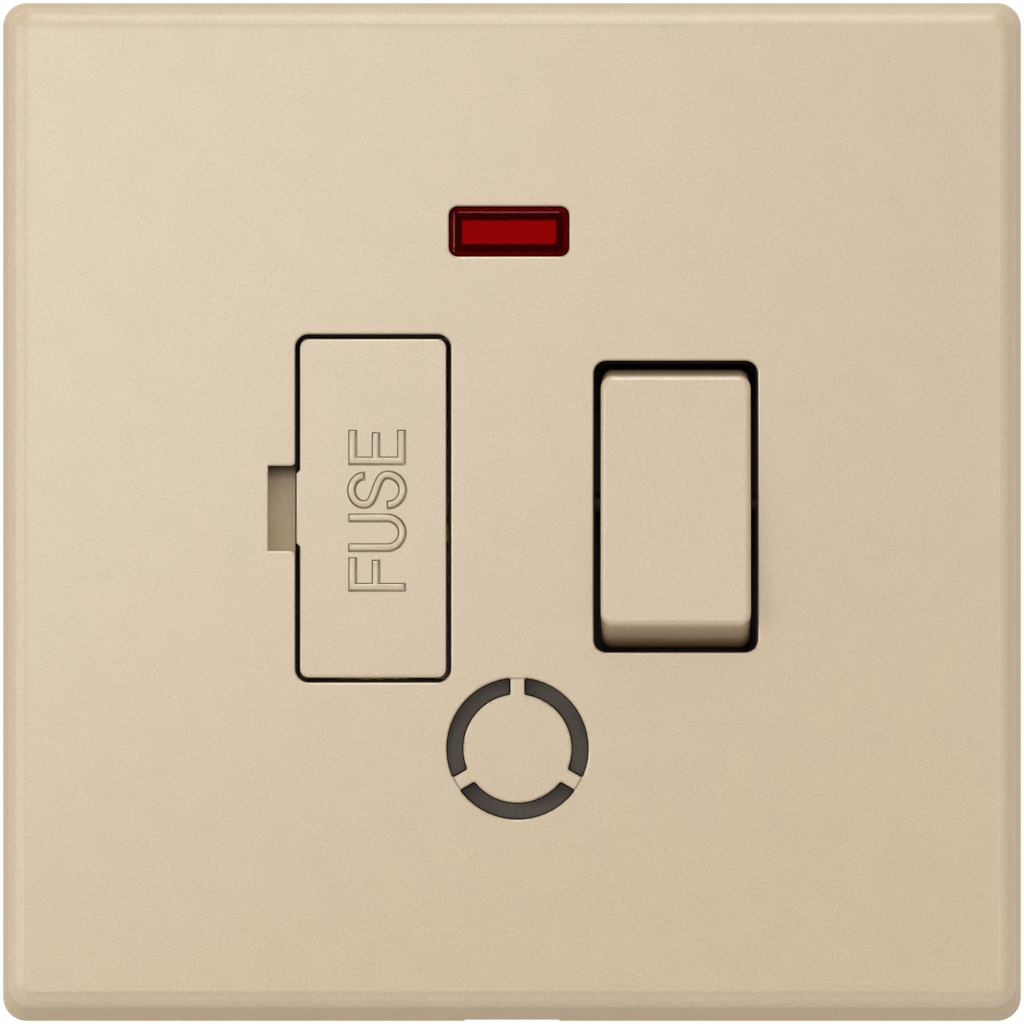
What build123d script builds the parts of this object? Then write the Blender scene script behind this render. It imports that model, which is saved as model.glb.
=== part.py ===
from build123d import *
import math
import os

# A fused connection unit with a double-pole rocker, on one screwless plate. All sizes are millimetres.
# +X is right and +Z is up for someone who faces the wall, and +Y goes into the wall.
# The origin lies on the wall's surface, midway between the two fixing holes.

# Cover plate
PLATE_SIDE = 86.0
PLATE_CORNER_R = 2.0
PLATE_EDGE_R = 1.45
PLATE_SLOPE = 0.55
PLATE_LOWER_SLOPE = 1.45
PLATE_PROJECTION = 6.5
PLATE_WALL = 2.0
PLATE_RIM = 2.0
PLATE_INNER_CHAMFER = 1.0
RIM_GAP = 0.2
OPENING_EDGE_R = 0.18
STANDOFF_R = 1.5
STANDOFF_INSET = 9.0
STANDOFF_GAP = 0.1
HOOK_X = 20.0
HOOK_W = 7.0
HOOK_BITE = 0.5
HOOK_T = 1.0
HOOK_FIT = 0.15
PRY_W = 8.0
PRY_DEPTH = 0.45

# Fuse carrier and the opening round it
FUSE_X = -11.71
FUSE_Z = 0.31
CARRIER_W = 12.31
CARRIER_END_WALL = 1.415
CARRIER_CORNER_R = 0.75
CARRIER_EDGE_R = 0.15
CARRIER_FACE = 2.0
CARRIER_GAP = 0.42
CARRIER_WELL_GAP = 0.2
CARRIER_TRAVEL = 11.0
CARRIER_HOLD = 2.0
CARRIER_LIP = 0.3
CARRIER_LIP_T = 1.2
CARRIER_RAIL_T = 0.8
CARRIER_RAIL_GAP = 0.5
CARRIER_LEG_W = 6.4
CARRIER_CRADLE_WALL = 1.4
CARRIER_CRADLE_L = 10.0
CARRIER_MOUTH = 5.4
NOTCH_W = 2.27
NOTCH_H = 7.16
NOTCH_DEPTH = 2.2
NOTCH_FLOOR = 0.8
NOTCH_CORNER_R = 0.35

# Cartridge fuse and its clips
FUSE_L = 25.4
FUSE_R = 3.175
FUSE_SET_BACK = 1.2
FUSE_CAP_L = 5.8
FUSE_CAP_T = 0.25
FUSE_CAP_END = 0.5
FUSE_END_GAP = 0.15
FUSE_FIT = 0.03
CLIP_W = 4.6
CLIP_T = 0.6
CLIP_FIT = 0.06
CLIP_REACH = 1.2
CLIP_FLARE = 0.7
CLIP_FLARE_L = 1.5

# Rocker and the opening round it
ROCKER_X = 13.8
ROCKER_Z = 0.46
ROCKER_W = 12.64
ROCKER_FACE_H = 20.96
ROCKER_CORNER_R = 1.0
ROCKER_INNER_R = 0.5
ROCKER_EDGE_R = 0.45
ROCKER_DEPTH = 5.2
ROCKER_DRAFT = 17.0
ROCKER_WALL = 1.4
ROCKER_SIDE_GAP = 0.62
ROCKER_END_GAP = 0.24
ROCKER_OPENING_R = 1.1
ROCKER_WELL_GAP = 0.45
ROCKER_WELL_END_GAP = 0.45
ROCKER_PIVOT_DEPTH = 5.35
ROCKER_SWING = 6.0
ROCKER_PROUD = 0.3
EAR_R = 2.3
TRUNNION_R = 1.1
TRUNNION_FIT = 0.06

# Sprung plungers in the rocker
POLE_PITCH = 7.6
PLUNGER_R = 1.2
PLUNGER_FIT = 0.1
PLUNGER_TUBE_WALL = 0.6
PLUNGER_TUBE_REACH = 5.0
PLUNGER_HOLD = 4.5
PLUNGER_GAP = 0.06
SPRING_SEAT = 0.6
SPRING_R = 0.85
SPRING_WIRE_R = 0.17
SPRING_TURNS = 4.0

# Contact blades, their cradles and the strips
STRIP_T = 0.8
STRIP_W = 5.6
BLADE_W = 4.2
BLADE_T = 0.8
BLADE_TOP = 11.0
BLADE_TAIL = 8.0
BLADE_SWING = 9.0
BLADE_PIN_R = 0.7
BLADE_PIN_FIT = 0.06
EAR_GAP = 0.2
CRADLE_EAR_W = 3.4
CRADLE_EAR_TIP = 0.5
CRADLE_TOP = 2.2
CRADLE_TAIL = 9.6
STOP_L = 1.4
STOP_GAP = 0.1
TIP_ARM = 9.6
TIP_R = 1.2
TIP_H = 0.5
TIP_SHANK_R = 0.6
FIXED_TIP_R = 1.4
FIXED_TIP_H = 0.6
TIP_GAP = 0.1
CONTACT_MARGIN = 0.6
LINK_RUN_W = 4.0
LINK_RUN_DROP = 1.0

# Neon lens, lamp, resistor and leads
NEON_X = -0.25
NEON_Z = 23.66
LENS_W = 9.85
LENS_H = 3.93
LENS_CORNER_R = 0.62
LENS_GAP = 0.16
LENS_RECESS = 0.15
LENS_RIM = 0.25
LENS_STEP = 0.3
LENS_BEVEL = 0.72
LENS_BEVEL_H = 0.3
LENS_BEVEL_CORNER_R = 0.15
LENS_FRONT_T = 0.9
LENS_WALL = 0.7
LENS_FLANGE = 0.9
LENS_FLANGE_T = 0.8
LENS_SEAT_GAP = 0.1
LENS_SPIGOT = 1.0
LAMP_R = 1.9
LAMP_END_R = 0.95
LAMP_L = 8.6
LAMP_GAP = 0.3
LAMP_SADDLE_FIT = 0.05
LAMP_SADDLE_T = 1.0
LAMP_SADDLE_X = 2.6
LAMP_UNDER_GAP = 0.5
RESISTOR_R = 1.1
RESISTOR_L = 6.0
RESISTOR_Z = 8.0
RESISTOR_END_R = 0.35
LEAD_R = 0.35
LEAD_REACH = 1.0
LEAD_BEND = 0.8
LEAD_CLEAR = 2.3
LEAD_HOLE_FIT = 0.2
LEAD_UNDER = 3.0

# Flex outlet: knock-out, grommet and passage
OUTLET_X = 0.46
OUTLET_Z = -19.94
OUTLET_R = 6.0
KNOCKOUT_R = 4.565
KNOCKOUT_CORNER_R = 0.2
KNOCKOUT_WALL = 1.4
KNOCKOUT_RELIEF = 0.5
BRIDGE_W = 1.19
BRIDGE_ANGLES = (90.0, 210.0, 330.0)
SCORE_W = 0.15
SCORE_DEPTH = 0.3
PASSAGE_R = 5.3
PASSAGE_WALL = 1.6
GROMMET_T = 0.9
GROMMET_SPIGOT = 2.4
GROMMET_WALL = 1.0
GROMMET_FIT = 0.1
GROMMET_DISH = 1.2
GROMMET_PIP_R = 1.6

# Mounting frame
FRAME_GAP = 0.3
FRAME_CORNER_R = 1.2
FLANGE_T = 2.0
FRAME_LIP_W = 1.6
FRAME_LIP_H = 1.2
COLLAR_GAP = 0.3
WELL_WALL = 1.4
SKIRT_DEPTH = 5.0
ROCKER_WELL_DEPTH = 2.0
ROCKER_LEDGE = 0.8
ROCKER_LEDGE_T = 1.0
FIXING_PITCH = 60.3
FIXING_R = 2.1
FIXING_SLOT_L = 6.4

# Rear housing
MODULE_MARGIN = 0.6
MODULE_SIDE_MARGIN = 2.5
MODULE_WALL = 1.6
MODULE_CORNER_R = 2.0
MODULE_BACK_R = 0.8
TRAY_DEPTH = 6.1
FLOOR_T = 1.7
PARTITION_GAP = 0.2
PARTITION_FRONT_GAP = 0.6
SHELF_T = 1.6

# Terminals
TERMINAL_W = 5.8
TERMINAL_L = 8.2
TERMINAL_DEPTH = 7.0
TERMINAL_RECESS = 0.6
TERMINAL_FIT = 0.1
BORE_R = 2.1
BORE_WALL = 0.8
TERMINAL_CHAMFER = 0.3
BANK_WALL = 1.2
BANK_H = 7.8
BANK_EDGE_R = 0.4

# Screws
SCREW_SLOT_W = 0.8
SCREW_SLOT_DEPTH = 0.9
SCREW_RIM_R = 0.4
THREAD_FIT = 0.05
TERMINAL_SCREW_R = 1.75
TERMINAL_SCREW_BACKED_OFF = 0.15
TERMINAL_SCREW_LIFT = 0.4
TERMINAL_HEAD_R = 2.5
TERMINAL_HEAD_H = 1.9
HOUSING_SCREW_R = 1.15
HOUSING_HEAD_R = 2.5
HOUSING_HEAD_H = 1.6
HOUSING_SCREW_BITE = 4.5
HOUSING_SCREW_INSET = 5.0
HOUSING_HEAD_MARGIN = 0.4
PILLAR_WALL = 1.15
CLEARANCE_FIT = 0.45

# Cord grip
GRIP_Z = -6.0
GRIP_SPAN = 17.0
GRIP_W = 6.0
GRIP_T = 2.6
GRIP_EDGE_R = 0.5
GRIP_LIFT = 5.0
GRIP_RIDGE_R = 0.6
GRIP_RIDGE_PITCH = 3.0
GRIP_BOSS_R = 2.3
GRIP_SCREW_DEPTH = 4.4
GRIP_HEAD_R = 2.6
GRIP_HEAD_H = 1.8

# Depths, from the plate's face to the back
FACE_Y = -PLATE_PROJECTION
PLATE_BACK_Y = FACE_Y + PLATE_WALL
NOTCH_BACK_Y = FACE_Y + NOTCH_DEPTH + NOTCH_FLOOR
CARRIER_BACK_Y = FACE_Y + CARRIER_FACE
FUSE_Y = CARRIER_BACK_Y + FUSE_SET_BACK + FUSE_R
FUSE_WELL_FRONT_Y = NOTCH_BACK_Y + COLLAR_GAP
ROCKER_WELL_FRONT_Y = PLATE_BACK_Y + COLLAR_GAP
SEAT_FRONT_Y = PLATE_BACK_Y + LENS_SEAT_GAP
LENS_FLANGE_BACK_Y = SEAT_FRONT_Y + LENS_FLANGE_T
NEON_WELL_FRONT_Y = LENS_FLANGE_BACK_Y + LENS_SEAT_GAP
LENS_BACK_Y = LENS_FLANGE_BACK_Y + LENS_SPIGOT
LAMP_Y = LENS_BACK_Y + LAMP_GAP + LAMP_R
NEON_FLOOR_Y = LAMP_Y + LAMP_R + LAMP_UNDER_GAP
NEON_WELL_BACK_Y = NEON_FLOOR_Y + WELL_WALL
GROMMET_FRONT_Y = PLATE_BACK_Y + LENS_SEAT_GAP
PASSAGE_FRONT_Y = GROMMET_FRONT_Y + GROMMET_T
PARTING_Y = SKIRT_DEPTH
FLOOR_Y = PARTING_Y + TRAY_DEPTH
FLOOR_BACK_Y = FLOOR_Y + FLOOR_T
STRIP_Y = FLOOR_Y - STRIP_T
LEAD_Y = STRIP_Y - LEAD_CLEAR
TERMINAL_BACK_Y = FLOOR_Y + TERMINAL_DEPTH
BORE_Y = FLOOR_Y + BORE_WALL + BORE_R
LEG_BACK_Y = FUSE_WELL_FRONT_Y + CARRIER_HOLD + CARRIER_TRAVEL
GRIP_Y = FLOOR_BACK_Y + GRIP_LIFT

# Rocker's tilt and the blades' seesaw
HALF_FACE = ROCKER_FACE_H / 2
TILT = math.radians(ROCKER_SWING)
SEESAW = math.radians(BLADE_SWING)
PIVOT_Y = FACE_Y - ROCKER_PROUD - HALF_FACE * math.sin(TILT) + ROCKER_PIVOT_DEPTH * math.cos(TILT)
ROCKER_FACE_Y = PIVOT_Y - ROCKER_PIVOT_DEPTH
ROCKER_SKIRT_Y = ROCKER_FACE_Y + ROCKER_DEPTH
TIP_DOME_R = (TIP_R ** 2 + TIP_H ** 2) / (2 * TIP_H)
TIP_CENTRE = BLADE_T + TIP_H - TIP_DOME_R
TIP_REACH = TIP_CENTRE * math.cos(SEESAW) + TIP_ARM * math.sin(SEESAW) + TIP_DOME_R
BLADE_Y = STRIP_Y - FIXED_TIP_H - TIP_GAP - TIP_REACH
STOP_Y = BLADE_Y + BLADE_T * math.cos(SEESAW) + BLADE_TAIL * math.sin(SEESAW) + STOP_GAP
TUBE_BORE_R = PLUNGER_R + PLUNGER_FIT
TUBE_R = TUBE_BORE_R + PLUNGER_TUBE_WALL
TUBE_FLOOR_Y = ROCKER_FACE_Y + ROCKER_WALL + SPRING_SEAT
TUBE_BACK_Y = PIVOT_Y + PLUNGER_TUBE_REACH
PLUNGER_TIP_Y = BLADE_Y - PLUNGER_GAP
PLUNGER_BACK_Y = TUBE_BACK_Y - PLUNGER_HOLD
LIVE_X = ROCKER_X - POLE_PITCH / 2
NEUTRAL_X = ROCKER_X + POLE_PITCH / 2
CRADLE_HALF_W = BLADE_W / 2 + EAR_GAP + STRIP_T

# Front-view sizes of the openings, wells and module
CARRIER_H = FUSE_L + 2 * (FUSE_END_GAP + CARRIER_END_WALL)
FUSE_OPENING_W = CARRIER_W + 2 * CARRIER_GAP
FUSE_OPENING_H = CARRIER_H + 2 * CARRIER_GAP
FUSE_OPENING_LEFT = FUSE_X - FUSE_OPENING_W / 2
FUSE_WELL_W = CARRIER_W + 2 * CARRIER_WELL_GAP
FUSE_WELL_H = CARRIER_H + 2 * CARRIER_WELL_GAP
ROCKER_SKIRT_H = ROCKER_FACE_H + 2 * ROCKER_DEPTH * math.tan(math.radians(ROCKER_DRAFT))
ROCKER_OPENING_W = ROCKER_W + 2 * ROCKER_SIDE_GAP
ROCKER_OPENING_H = ROCKER_SKIRT_H + 2 * ROCKER_END_GAP
ROCKER_WELL_W = ROCKER_W + 2 * ROCKER_WELL_GAP
ROCKER_WELL_H = ROCKER_SKIRT_H + 2 * ROCKER_WELL_END_GAP
LENS_FLANGE_W = LENS_W + 2 * LENS_FLANGE
LENS_FLANGE_H = LENS_H + 2 * LENS_FLANGE
NEON_WELL_W = LAMP_L + 2 * LEAD_REACH + 2 * LEAD_R + 2 * LAMP_SADDLE_FIT
NEON_WELL_H = max(2 * LAMP_R, LENS_H) + 2 * LENS_SEAT_GAP
PASSAGE_OUTER_R = PASSAGE_R + PASSAGE_WALL
PLATE_INSIDE = PLATE_SIDE - 2 * PLATE_RIM
FRAME_SIDE = PLATE_INSIDE - 2 * FRAME_GAP
MODULE_W = 2 * (ROCKER_X + ROCKER_WELL_W / 2 + WELL_WALL + MODULE_SIDE_MARGIN)
MODULE_H = 2 * (NEON_Z + NEON_WELL_H / 2 + WELL_WALL + MODULE_MARGIN)
TERMINAL_Z = MODULE_H / 2 - TERMINAL_RECESS - TERMINAL_L / 2
STRIP_END_Z = MODULE_H / 2 - MODULE_WALL - TERMINAL_FIT
FUSE_CLIP_Z = FUSE_L / 2 - FUSE_CAP_L / 2
CLIP_HALF_W = FUSE_R + CLIP_FIT + CLIP_T

# Terminals, with the places across of their wire bores
TOP_TERMINALS = {
    "supply_live": (LIVE_X,),
    "supply_neutral": (NEUTRAL_X,),
    "earth": (FUSE_X - TERMINAL_W / 2, FUSE_X + TERMINAL_W / 2),
}
BOTTOM_TERMINALS = {"load_live": (FUSE_X,), "load_neutral": (NEUTRAL_X,)}

# Housing screws: two at the left corners, one above the rocker's well and one beside the flex passage
LEFT_SCREW_X = -MODULE_W / 2 + HOUSING_HEAD_MARGIN + HOUSING_HEAD_R
LEFT_SCREW_Z = MODULE_H / 2 - HOUSING_SCREW_INSET
FUSE_WELL_RIGHT = FUSE_X + FUSE_WELL_W / 2 + WELL_WALL
ROCKER_WELL_LEFT = ROCKER_X - ROCKER_WELL_W / 2 - WELL_WALL
ROCKER_WELL_TOP = ROCKER_Z + ROCKER_WELL_H / 2 + WELL_WALL
NEON_WELL_LOW = NEON_Z - NEON_WELL_H / 2 - WELL_WALL
LOAD_BANK_LEFT = NEUTRAL_X - TERMINAL_W / 2 - TERMINAL_FIT - BANK_WALL
HOUSING_SCREWS = (
    (LEFT_SCREW_X, LEFT_SCREW_Z),
    (LEFT_SCREW_X, -LEFT_SCREW_Z),
    ((FUSE_WELL_RIGHT + ROCKER_WELL_LEFT) / 2, (ROCKER_WELL_TOP + NEON_WELL_LOW) / 2),
    ((OUTLET_X + PASSAGE_OUTER_R + LOAD_BANK_LEFT) / 2, -LEFT_SCREW_Z),
)
PILLAR_R = HOUSING_SCREW_R + PILLAR_WALL
GRIP_SCREWS = ((OUTLET_X - GRIP_SPAN / 2, GRIP_Z), (OUTLET_X + GRIP_SPAN / 2, GRIP_Z))


def slab(outline, front_y, back_y):
    """Solid of a front-view outline between two depths."""
    return extrude(Plane.XZ.offset(-back_y) * outline, amount=back_y - front_y, dir=(0, -1, 0))


def bar(outline, left_x, right_x):
    """Solid of a side-view outline, drawn as depth and height, between two places across."""
    return extrude(Plane.YZ.offset(left_x) * outline, amount=right_x - left_x, dir=(1, 0, 0))


def post(outline, low_z, high_z):
    """Solid of a top-view outline, drawn as width and depth, between two heights."""
    return extrude(Plane.XY.offset(low_z) * outline, amount=high_z - low_z, dir=(0, 0, 1))


def span(low, high):
    """Rectangle between two opposite corners."""
    middle = Pos((low[0] + high[0]) / 2, (low[1] + high[1]) / 2)
    return middle * Rectangle(high[0] - low[0], high[1] - low[1])


def turned(shape, angle, pivot_y, pivot_z):
    """Shape turned about an axis that runs across, through a depth and a height."""
    return Pos(0, pivot_y, pivot_z) * Rot(angle, 0, 0) * Pos(0, -pivot_y, -pivot_z) * shape


def module_outline(inset):
    """Front-view outline of the module behind the wall, drawn in by an inset."""
    return RectangleRounded(MODULE_W - 2 * inset, MODULE_H - 2 * inset, MODULE_CORNER_R - inset / 2)


def fuse_opening():
    """Outline of the plate's opening for the fuse carrier."""
    radius = CARRIER_CORNER_R + CARRIER_GAP
    return Pos(FUSE_X, FUSE_Z) * RectangleRounded(FUSE_OPENING_W, FUSE_OPENING_H, radius)


def notch_outline():
    """Outline of the carrier's opening with the screwdriver notch, rounded where they meet."""
    notch = span((FUSE_OPENING_LEFT - NOTCH_W, FUSE_Z - NOTCH_H / 2), (FUSE_X, FUSE_Z + NOTCH_H / 2))
    outline = fuse_opening() + notch
    corners = outline.vertices().filter_by_position(Axis.X, FUSE_OPENING_LEFT - NOTCH_CORNER_R, FUSE_X)
    low = FUSE_Z - NOTCH_H / 2 - NOTCH_CORNER_R
    high = FUSE_Z + NOTCH_H / 2 + NOTCH_CORNER_R
    return fillet(corners.filter_by_position(Axis.Y, low, high), NOTCH_CORNER_R)


def bridge_bar(angle):
    """Radial bar over one of the knock-out's bridges."""
    return Rot(0, 0, angle) * Pos(OUTLET_R, 0) * Rectangle(OUTLET_R, BRIDGE_W)


def knockout_slots():
    """The three arc slots round the knock-out."""
    slots = Circle(OUTLET_R) - Circle(KNOCKOUT_R)
    for angle in BRIDGE_ANGLES:
        slots -= bridge_bar(angle)
    return Pos(OUTLET_X, OUTLET_Z) * fillet(slots.vertices(), KNOCKOUT_CORNER_R)


def knockout_scores():
    """Score lines across the bridges, on the knock-out's outer circle."""
    ring = Circle(OUTLET_R) - Circle(OUTLET_R - SCORE_W)
    scores = Sketch()
    for angle in BRIDGE_ANGLES:
        scores += ring & bridge_bar(angle)
    return Pos(OUTLET_X, OUTLET_Z) * scores


def snap_hook(side):
    """Ridges inside the top or bottom rim that snap behind the frame's edge."""
    inside = side * PLATE_INSIDE / 2
    tip = inside - side * (FRAME_GAP + HOOK_BITE)
    front = -RIM_GAP - HOOK_T
    profile = Polygon((front, inside), (front, tip), (-RIM_GAP, inside), align=None)
    left = bar(profile, -HOOK_X - HOOK_W / 2, -HOOK_X + HOOK_W / 2)
    right = bar(profile, HOOK_X - HOOK_W / 2, HOOK_X + HOOK_W / 2)
    return left + right


def dished_plate():
    """Hollow plate with sloping sides, the lower one more than the others, and a rounded front edge."""
    rim = RectangleRounded(PLATE_SIDE, PLATE_SIDE, PLATE_CORNER_R)
    face_w = PLATE_SIDE - 2 * PLATE_SLOPE
    face_h = PLATE_SIDE - PLATE_SLOPE - PLATE_LOWER_SLOPE
    face = Pos(0, (PLATE_LOWER_SLOPE - PLATE_SLOPE) / 2) * RectangleRounded(face_w, face_h, PLATE_CORNER_R)
    plate = loft([Plane.XZ.offset(-FACE_Y) * face, Plane.XZ.offset(RIM_GAP) * rim])
    plate = fillet(plate.faces().sort_by(Axis.Y)[0].edges(), PLATE_EDGE_R)
    hollow = slab(Rectangle(PLATE_INSIDE, PLATE_INSIDE), PLATE_BACK_Y, 0)
    return plate - chamfer(hollow.faces().sort_by(Axis.Y)[0].edges(), PLATE_INNER_CHAMFER)


def cover_plate():
    """Dished plate with its openings, screwdriver notch, knock-out, standoffs and snap hooks."""
    plate = dished_plate()
    pad_left = FUSE_OPENING_LEFT - NOTCH_W - NOTCH_FLOOR
    pad_half_h = NOTCH_H / 2 + NOTCH_FLOOR
    pad = span((pad_left, FUSE_Z - pad_half_h), (FUSE_X, FUSE_Z + pad_half_h))
    plate += slab(pad, PLATE_BACK_Y, NOTCH_BACK_Y)
    before_face = FACE_Y - PLATE_WALL
    plate -= slab(fuse_opening(), before_face, NOTCH_BACK_Y)
    plate -= slab(notch_outline(), before_face, FACE_Y + NOTCH_DEPTH)
    rocker_opening = RectangleRounded(ROCKER_OPENING_W, ROCKER_OPENING_H, ROCKER_OPENING_R)
    plate -= slab(Pos(ROCKER_X, ROCKER_Z) * rocker_opening, before_face, PLATE_BACK_Y)
    lens_opening = RectangleRounded(LENS_W + 2 * LENS_GAP, LENS_H + 2 * LENS_GAP, LENS_CORNER_R + LENS_GAP)
    plate -= slab(Pos(NEON_X, NEON_Z) * lens_opening, before_face, PLATE_BACK_Y)
    relief = Pos(OUTLET_X, OUTLET_Z) * Circle(OUTLET_R + KNOCKOUT_RELIEF)
    plate -= slab(relief, FACE_Y + KNOCKOUT_WALL, PLATE_BACK_Y)
    plate -= slab(knockout_slots(), before_face, PLATE_BACK_Y)
    face = plate.faces().sort_by(Axis.Y)[0]
    rims = [edge for wire in face.inner_wires() for edge in wire.edges()]
    plate = fillet(rims, OPENING_EDGE_R)
    plate -= slab(knockout_scores(), before_face, FACE_Y + SCORE_DEPTH)
    corner = PLATE_SIDE / 2 - STANDOFF_INSET
    standoffs = GridLocations(2 * corner, 2 * corner, 2, 2) * Circle(STANDOFF_R)
    plate += slab(Sketch() + standoffs, PLATE_BACK_Y, -FLANGE_T - STANDOFF_GAP)
    pry_low = -PLATE_SIDE / 2
    plate -= slab(span((-PRY_W / 2, pry_low), (PRY_W / 2, pry_low + PLATE_RIM)), -RIM_GAP - PRY_DEPTH, 0)
    return plate + snap_hook(1) + snap_hook(-1)


def frame_wells():
    """Solid outsides of the wells that stand on the frame's flange."""
    fuse = Rectangle(FUSE_WELL_W + 2 * WELL_WALL, FUSE_WELL_H + 2 * WELL_WALL)
    wells = slab(Pos(FUSE_X, FUSE_Z) * fuse, FUSE_WELL_FRONT_Y, PARTING_Y)
    rocker = Rectangle(ROCKER_WELL_W + 2 * WELL_WALL, ROCKER_WELL_H + 2 * WELL_WALL)
    wells += slab(Pos(ROCKER_X, ROCKER_Z) * rocker, ROCKER_WELL_FRONT_Y, ROCKER_WELL_DEPTH)
    neon = Rectangle(NEON_WELL_W + 2 * WELL_WALL, NEON_WELL_H + 2 * WELL_WALL)
    wells += slab(Pos(NEON_X, NEON_Z) * neon, NEON_WELL_FRONT_Y, NEON_WELL_BACK_Y)
    wells += slab(Pos(OUTLET_X, OUTLET_Z) * Circle(PASSAGE_OUTER_R), PASSAGE_FRONT_Y, PARTING_Y)
    for x, z in HOUSING_SCREWS:
        wells += slab(Pos(x, z) * Circle(PILLAR_R), -FLANGE_T, PARTING_Y)
    return wells


def frame_hollows():
    """Everything that is cut out of the frame: wells, bearings, lead holes, pilot holes and fixing slots."""
    fuse = slab(Pos(FUSE_X, FUSE_Z) * Rectangle(FUSE_WELL_W, FUSE_WELL_H), FACE_Y, PARTING_Y)
    ledge_y = ROCKER_WELL_DEPTH - ROCKER_LEDGE_T
    rocker = slab(Pos(ROCKER_X, ROCKER_Z) * Rectangle(ROCKER_WELL_W, ROCKER_WELL_H), FACE_Y, ledge_y)
    throat = Rectangle(ROCKER_WELL_W - 2 * ROCKER_LEDGE, ROCKER_WELL_H - 2 * ROCKER_LEDGE)
    rocker += slab(Pos(ROCKER_X, ROCKER_Z) * throat, ledge_y, PARTING_Y)
    hollows = fuse + rocker
    hollows += slab(Pos(NEON_X, NEON_Z) * Rectangle(NEON_WELL_W, NEON_WELL_H), FACE_Y, NEON_FLOOR_Y)
    hollows += slab(Pos(OUTLET_X, OUTLET_Z) * Circle(PASSAGE_R), FACE_Y, PARTING_Y)
    bearing = Pos(PIVOT_Y, ROCKER_Z) * Circle(TRUNNION_R + TRUNNION_FIT)
    well_half = ROCKER_WELL_W / 2 + WELL_WALL
    hollows += bar(bearing, ROCKER_X - well_half, ROCKER_X + well_half)
    for side in (-1, 1):
        lead = Pos(lead_x(side), NEON_Z) * Circle(LEAD_R + LEAD_HOLE_FIT)
        hollows += slab(lead, NEON_FLOOR_Y, PARTING_Y)
        fixing = Pos(side * FIXING_PITCH / 2, 0) * SlotOverall(FIXING_SLOT_L, 2 * FIXING_R)
        hollows += slab(fixing, FACE_Y, PARTING_Y)
    for x, z in HOUSING_SCREWS:
        pilot = Pos(x, z) * Circle(HOUSING_SCREW_R + THREAD_FIT)
        hollows += slab(pilot, PARTING_Y - HOUSING_SCREW_BITE - PILLAR_WALL, PARTING_Y)
    return hollows


def lamp_saddles():
    """Two ribs in the neon well, hollowed to carry the lamp."""
    rib = span((LAMP_Y, NEON_Z - NEON_WELL_H / 2), (NEON_FLOOR_Y, NEON_Z + NEON_WELL_H / 2))
    rib -= Pos(LAMP_Y, NEON_Z) * Circle(LAMP_R + LAMP_SADDLE_FIT)
    saddles = Part()
    for side in (-1, 1):
        middle = NEON_X + side * LAMP_SADDLE_X
        saddles += bar(rib, middle - LAMP_SADDLE_T / 2, middle + LAMP_SADDLE_T / 2)
    return saddles


def mounting_frame():
    """Moulded frame that is screwed to the wall box and carries the rocker, carrier, lamp and plate."""
    frame = slab(RectangleRounded(FRAME_SIDE, FRAME_SIDE, FRAME_CORNER_R), -FLANGE_T, 0)
    lip_inside = FRAME_SIDE - 2 * FRAME_LIP_W
    lip = RectangleRounded(FRAME_SIDE, FRAME_SIDE, FRAME_CORNER_R) - Rectangle(lip_inside, lip_inside)
    frame += slab(lip, -FLANGE_T - FRAME_LIP_H, -FLANGE_T)
    frame += slab(module_outline(0) - module_outline(MODULE_WALL), 0, PARTING_Y)
    frame += frame_wells()
    frame -= frame_hollows()
    frame += lamp_saddles()
    rebate_front = -RIM_GAP - HOOK_T - HOOK_FIT
    rebate_h = HOOK_BITE + HOOK_FIT
    for x in (-HOOK_X, HOOK_X):
        for side in (-1, 1):
            edge = Pos(x, side * FRAME_SIDE / 2) * Rectangle(HOOK_W + 2 * HOOK_FIT, 2 * rebate_h)
            frame -= slab(edge, rebate_front, 0)
    return frame


def terminals():
    """Each terminal's name, the places of its wire bores and its side, 1 at the top and -1 at the bottom."""
    top = [(name, places, 1) for name, places in TOP_TERMINALS.items()]
    bottom = [(name, places, -1) for name, places in BOTTOM_TERMINALS.items()]
    return top + bottom


def terminal_pocket(places, side, wall):
    """Outline of the pocket round a terminal, open at the module's edge, drawn out by a wall."""
    margin = TERMINAL_W / 2 + TERMINAL_FIT + wall
    inner = TERMINAL_Z - TERMINAL_L / 2 - TERMINAL_FIT - wall
    return span((places[0] - margin, side * inner), (places[-1] + margin, side * MODULE_H / 2))


def terminal_banks():
    """Solid outsides of the terminals' pockets, with rounded back edges."""
    outlines = Sketch()
    for _, places, side in terminals():
        outlines += terminal_pocket(places, side, BANK_WALL)
    banks = slab(outlines, FLOOR_Y, FLOOR_BACK_Y + BANK_H)
    return fillet(banks.edges().group_by(Axis.Y)[-1], BANK_EDGE_R)


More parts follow.
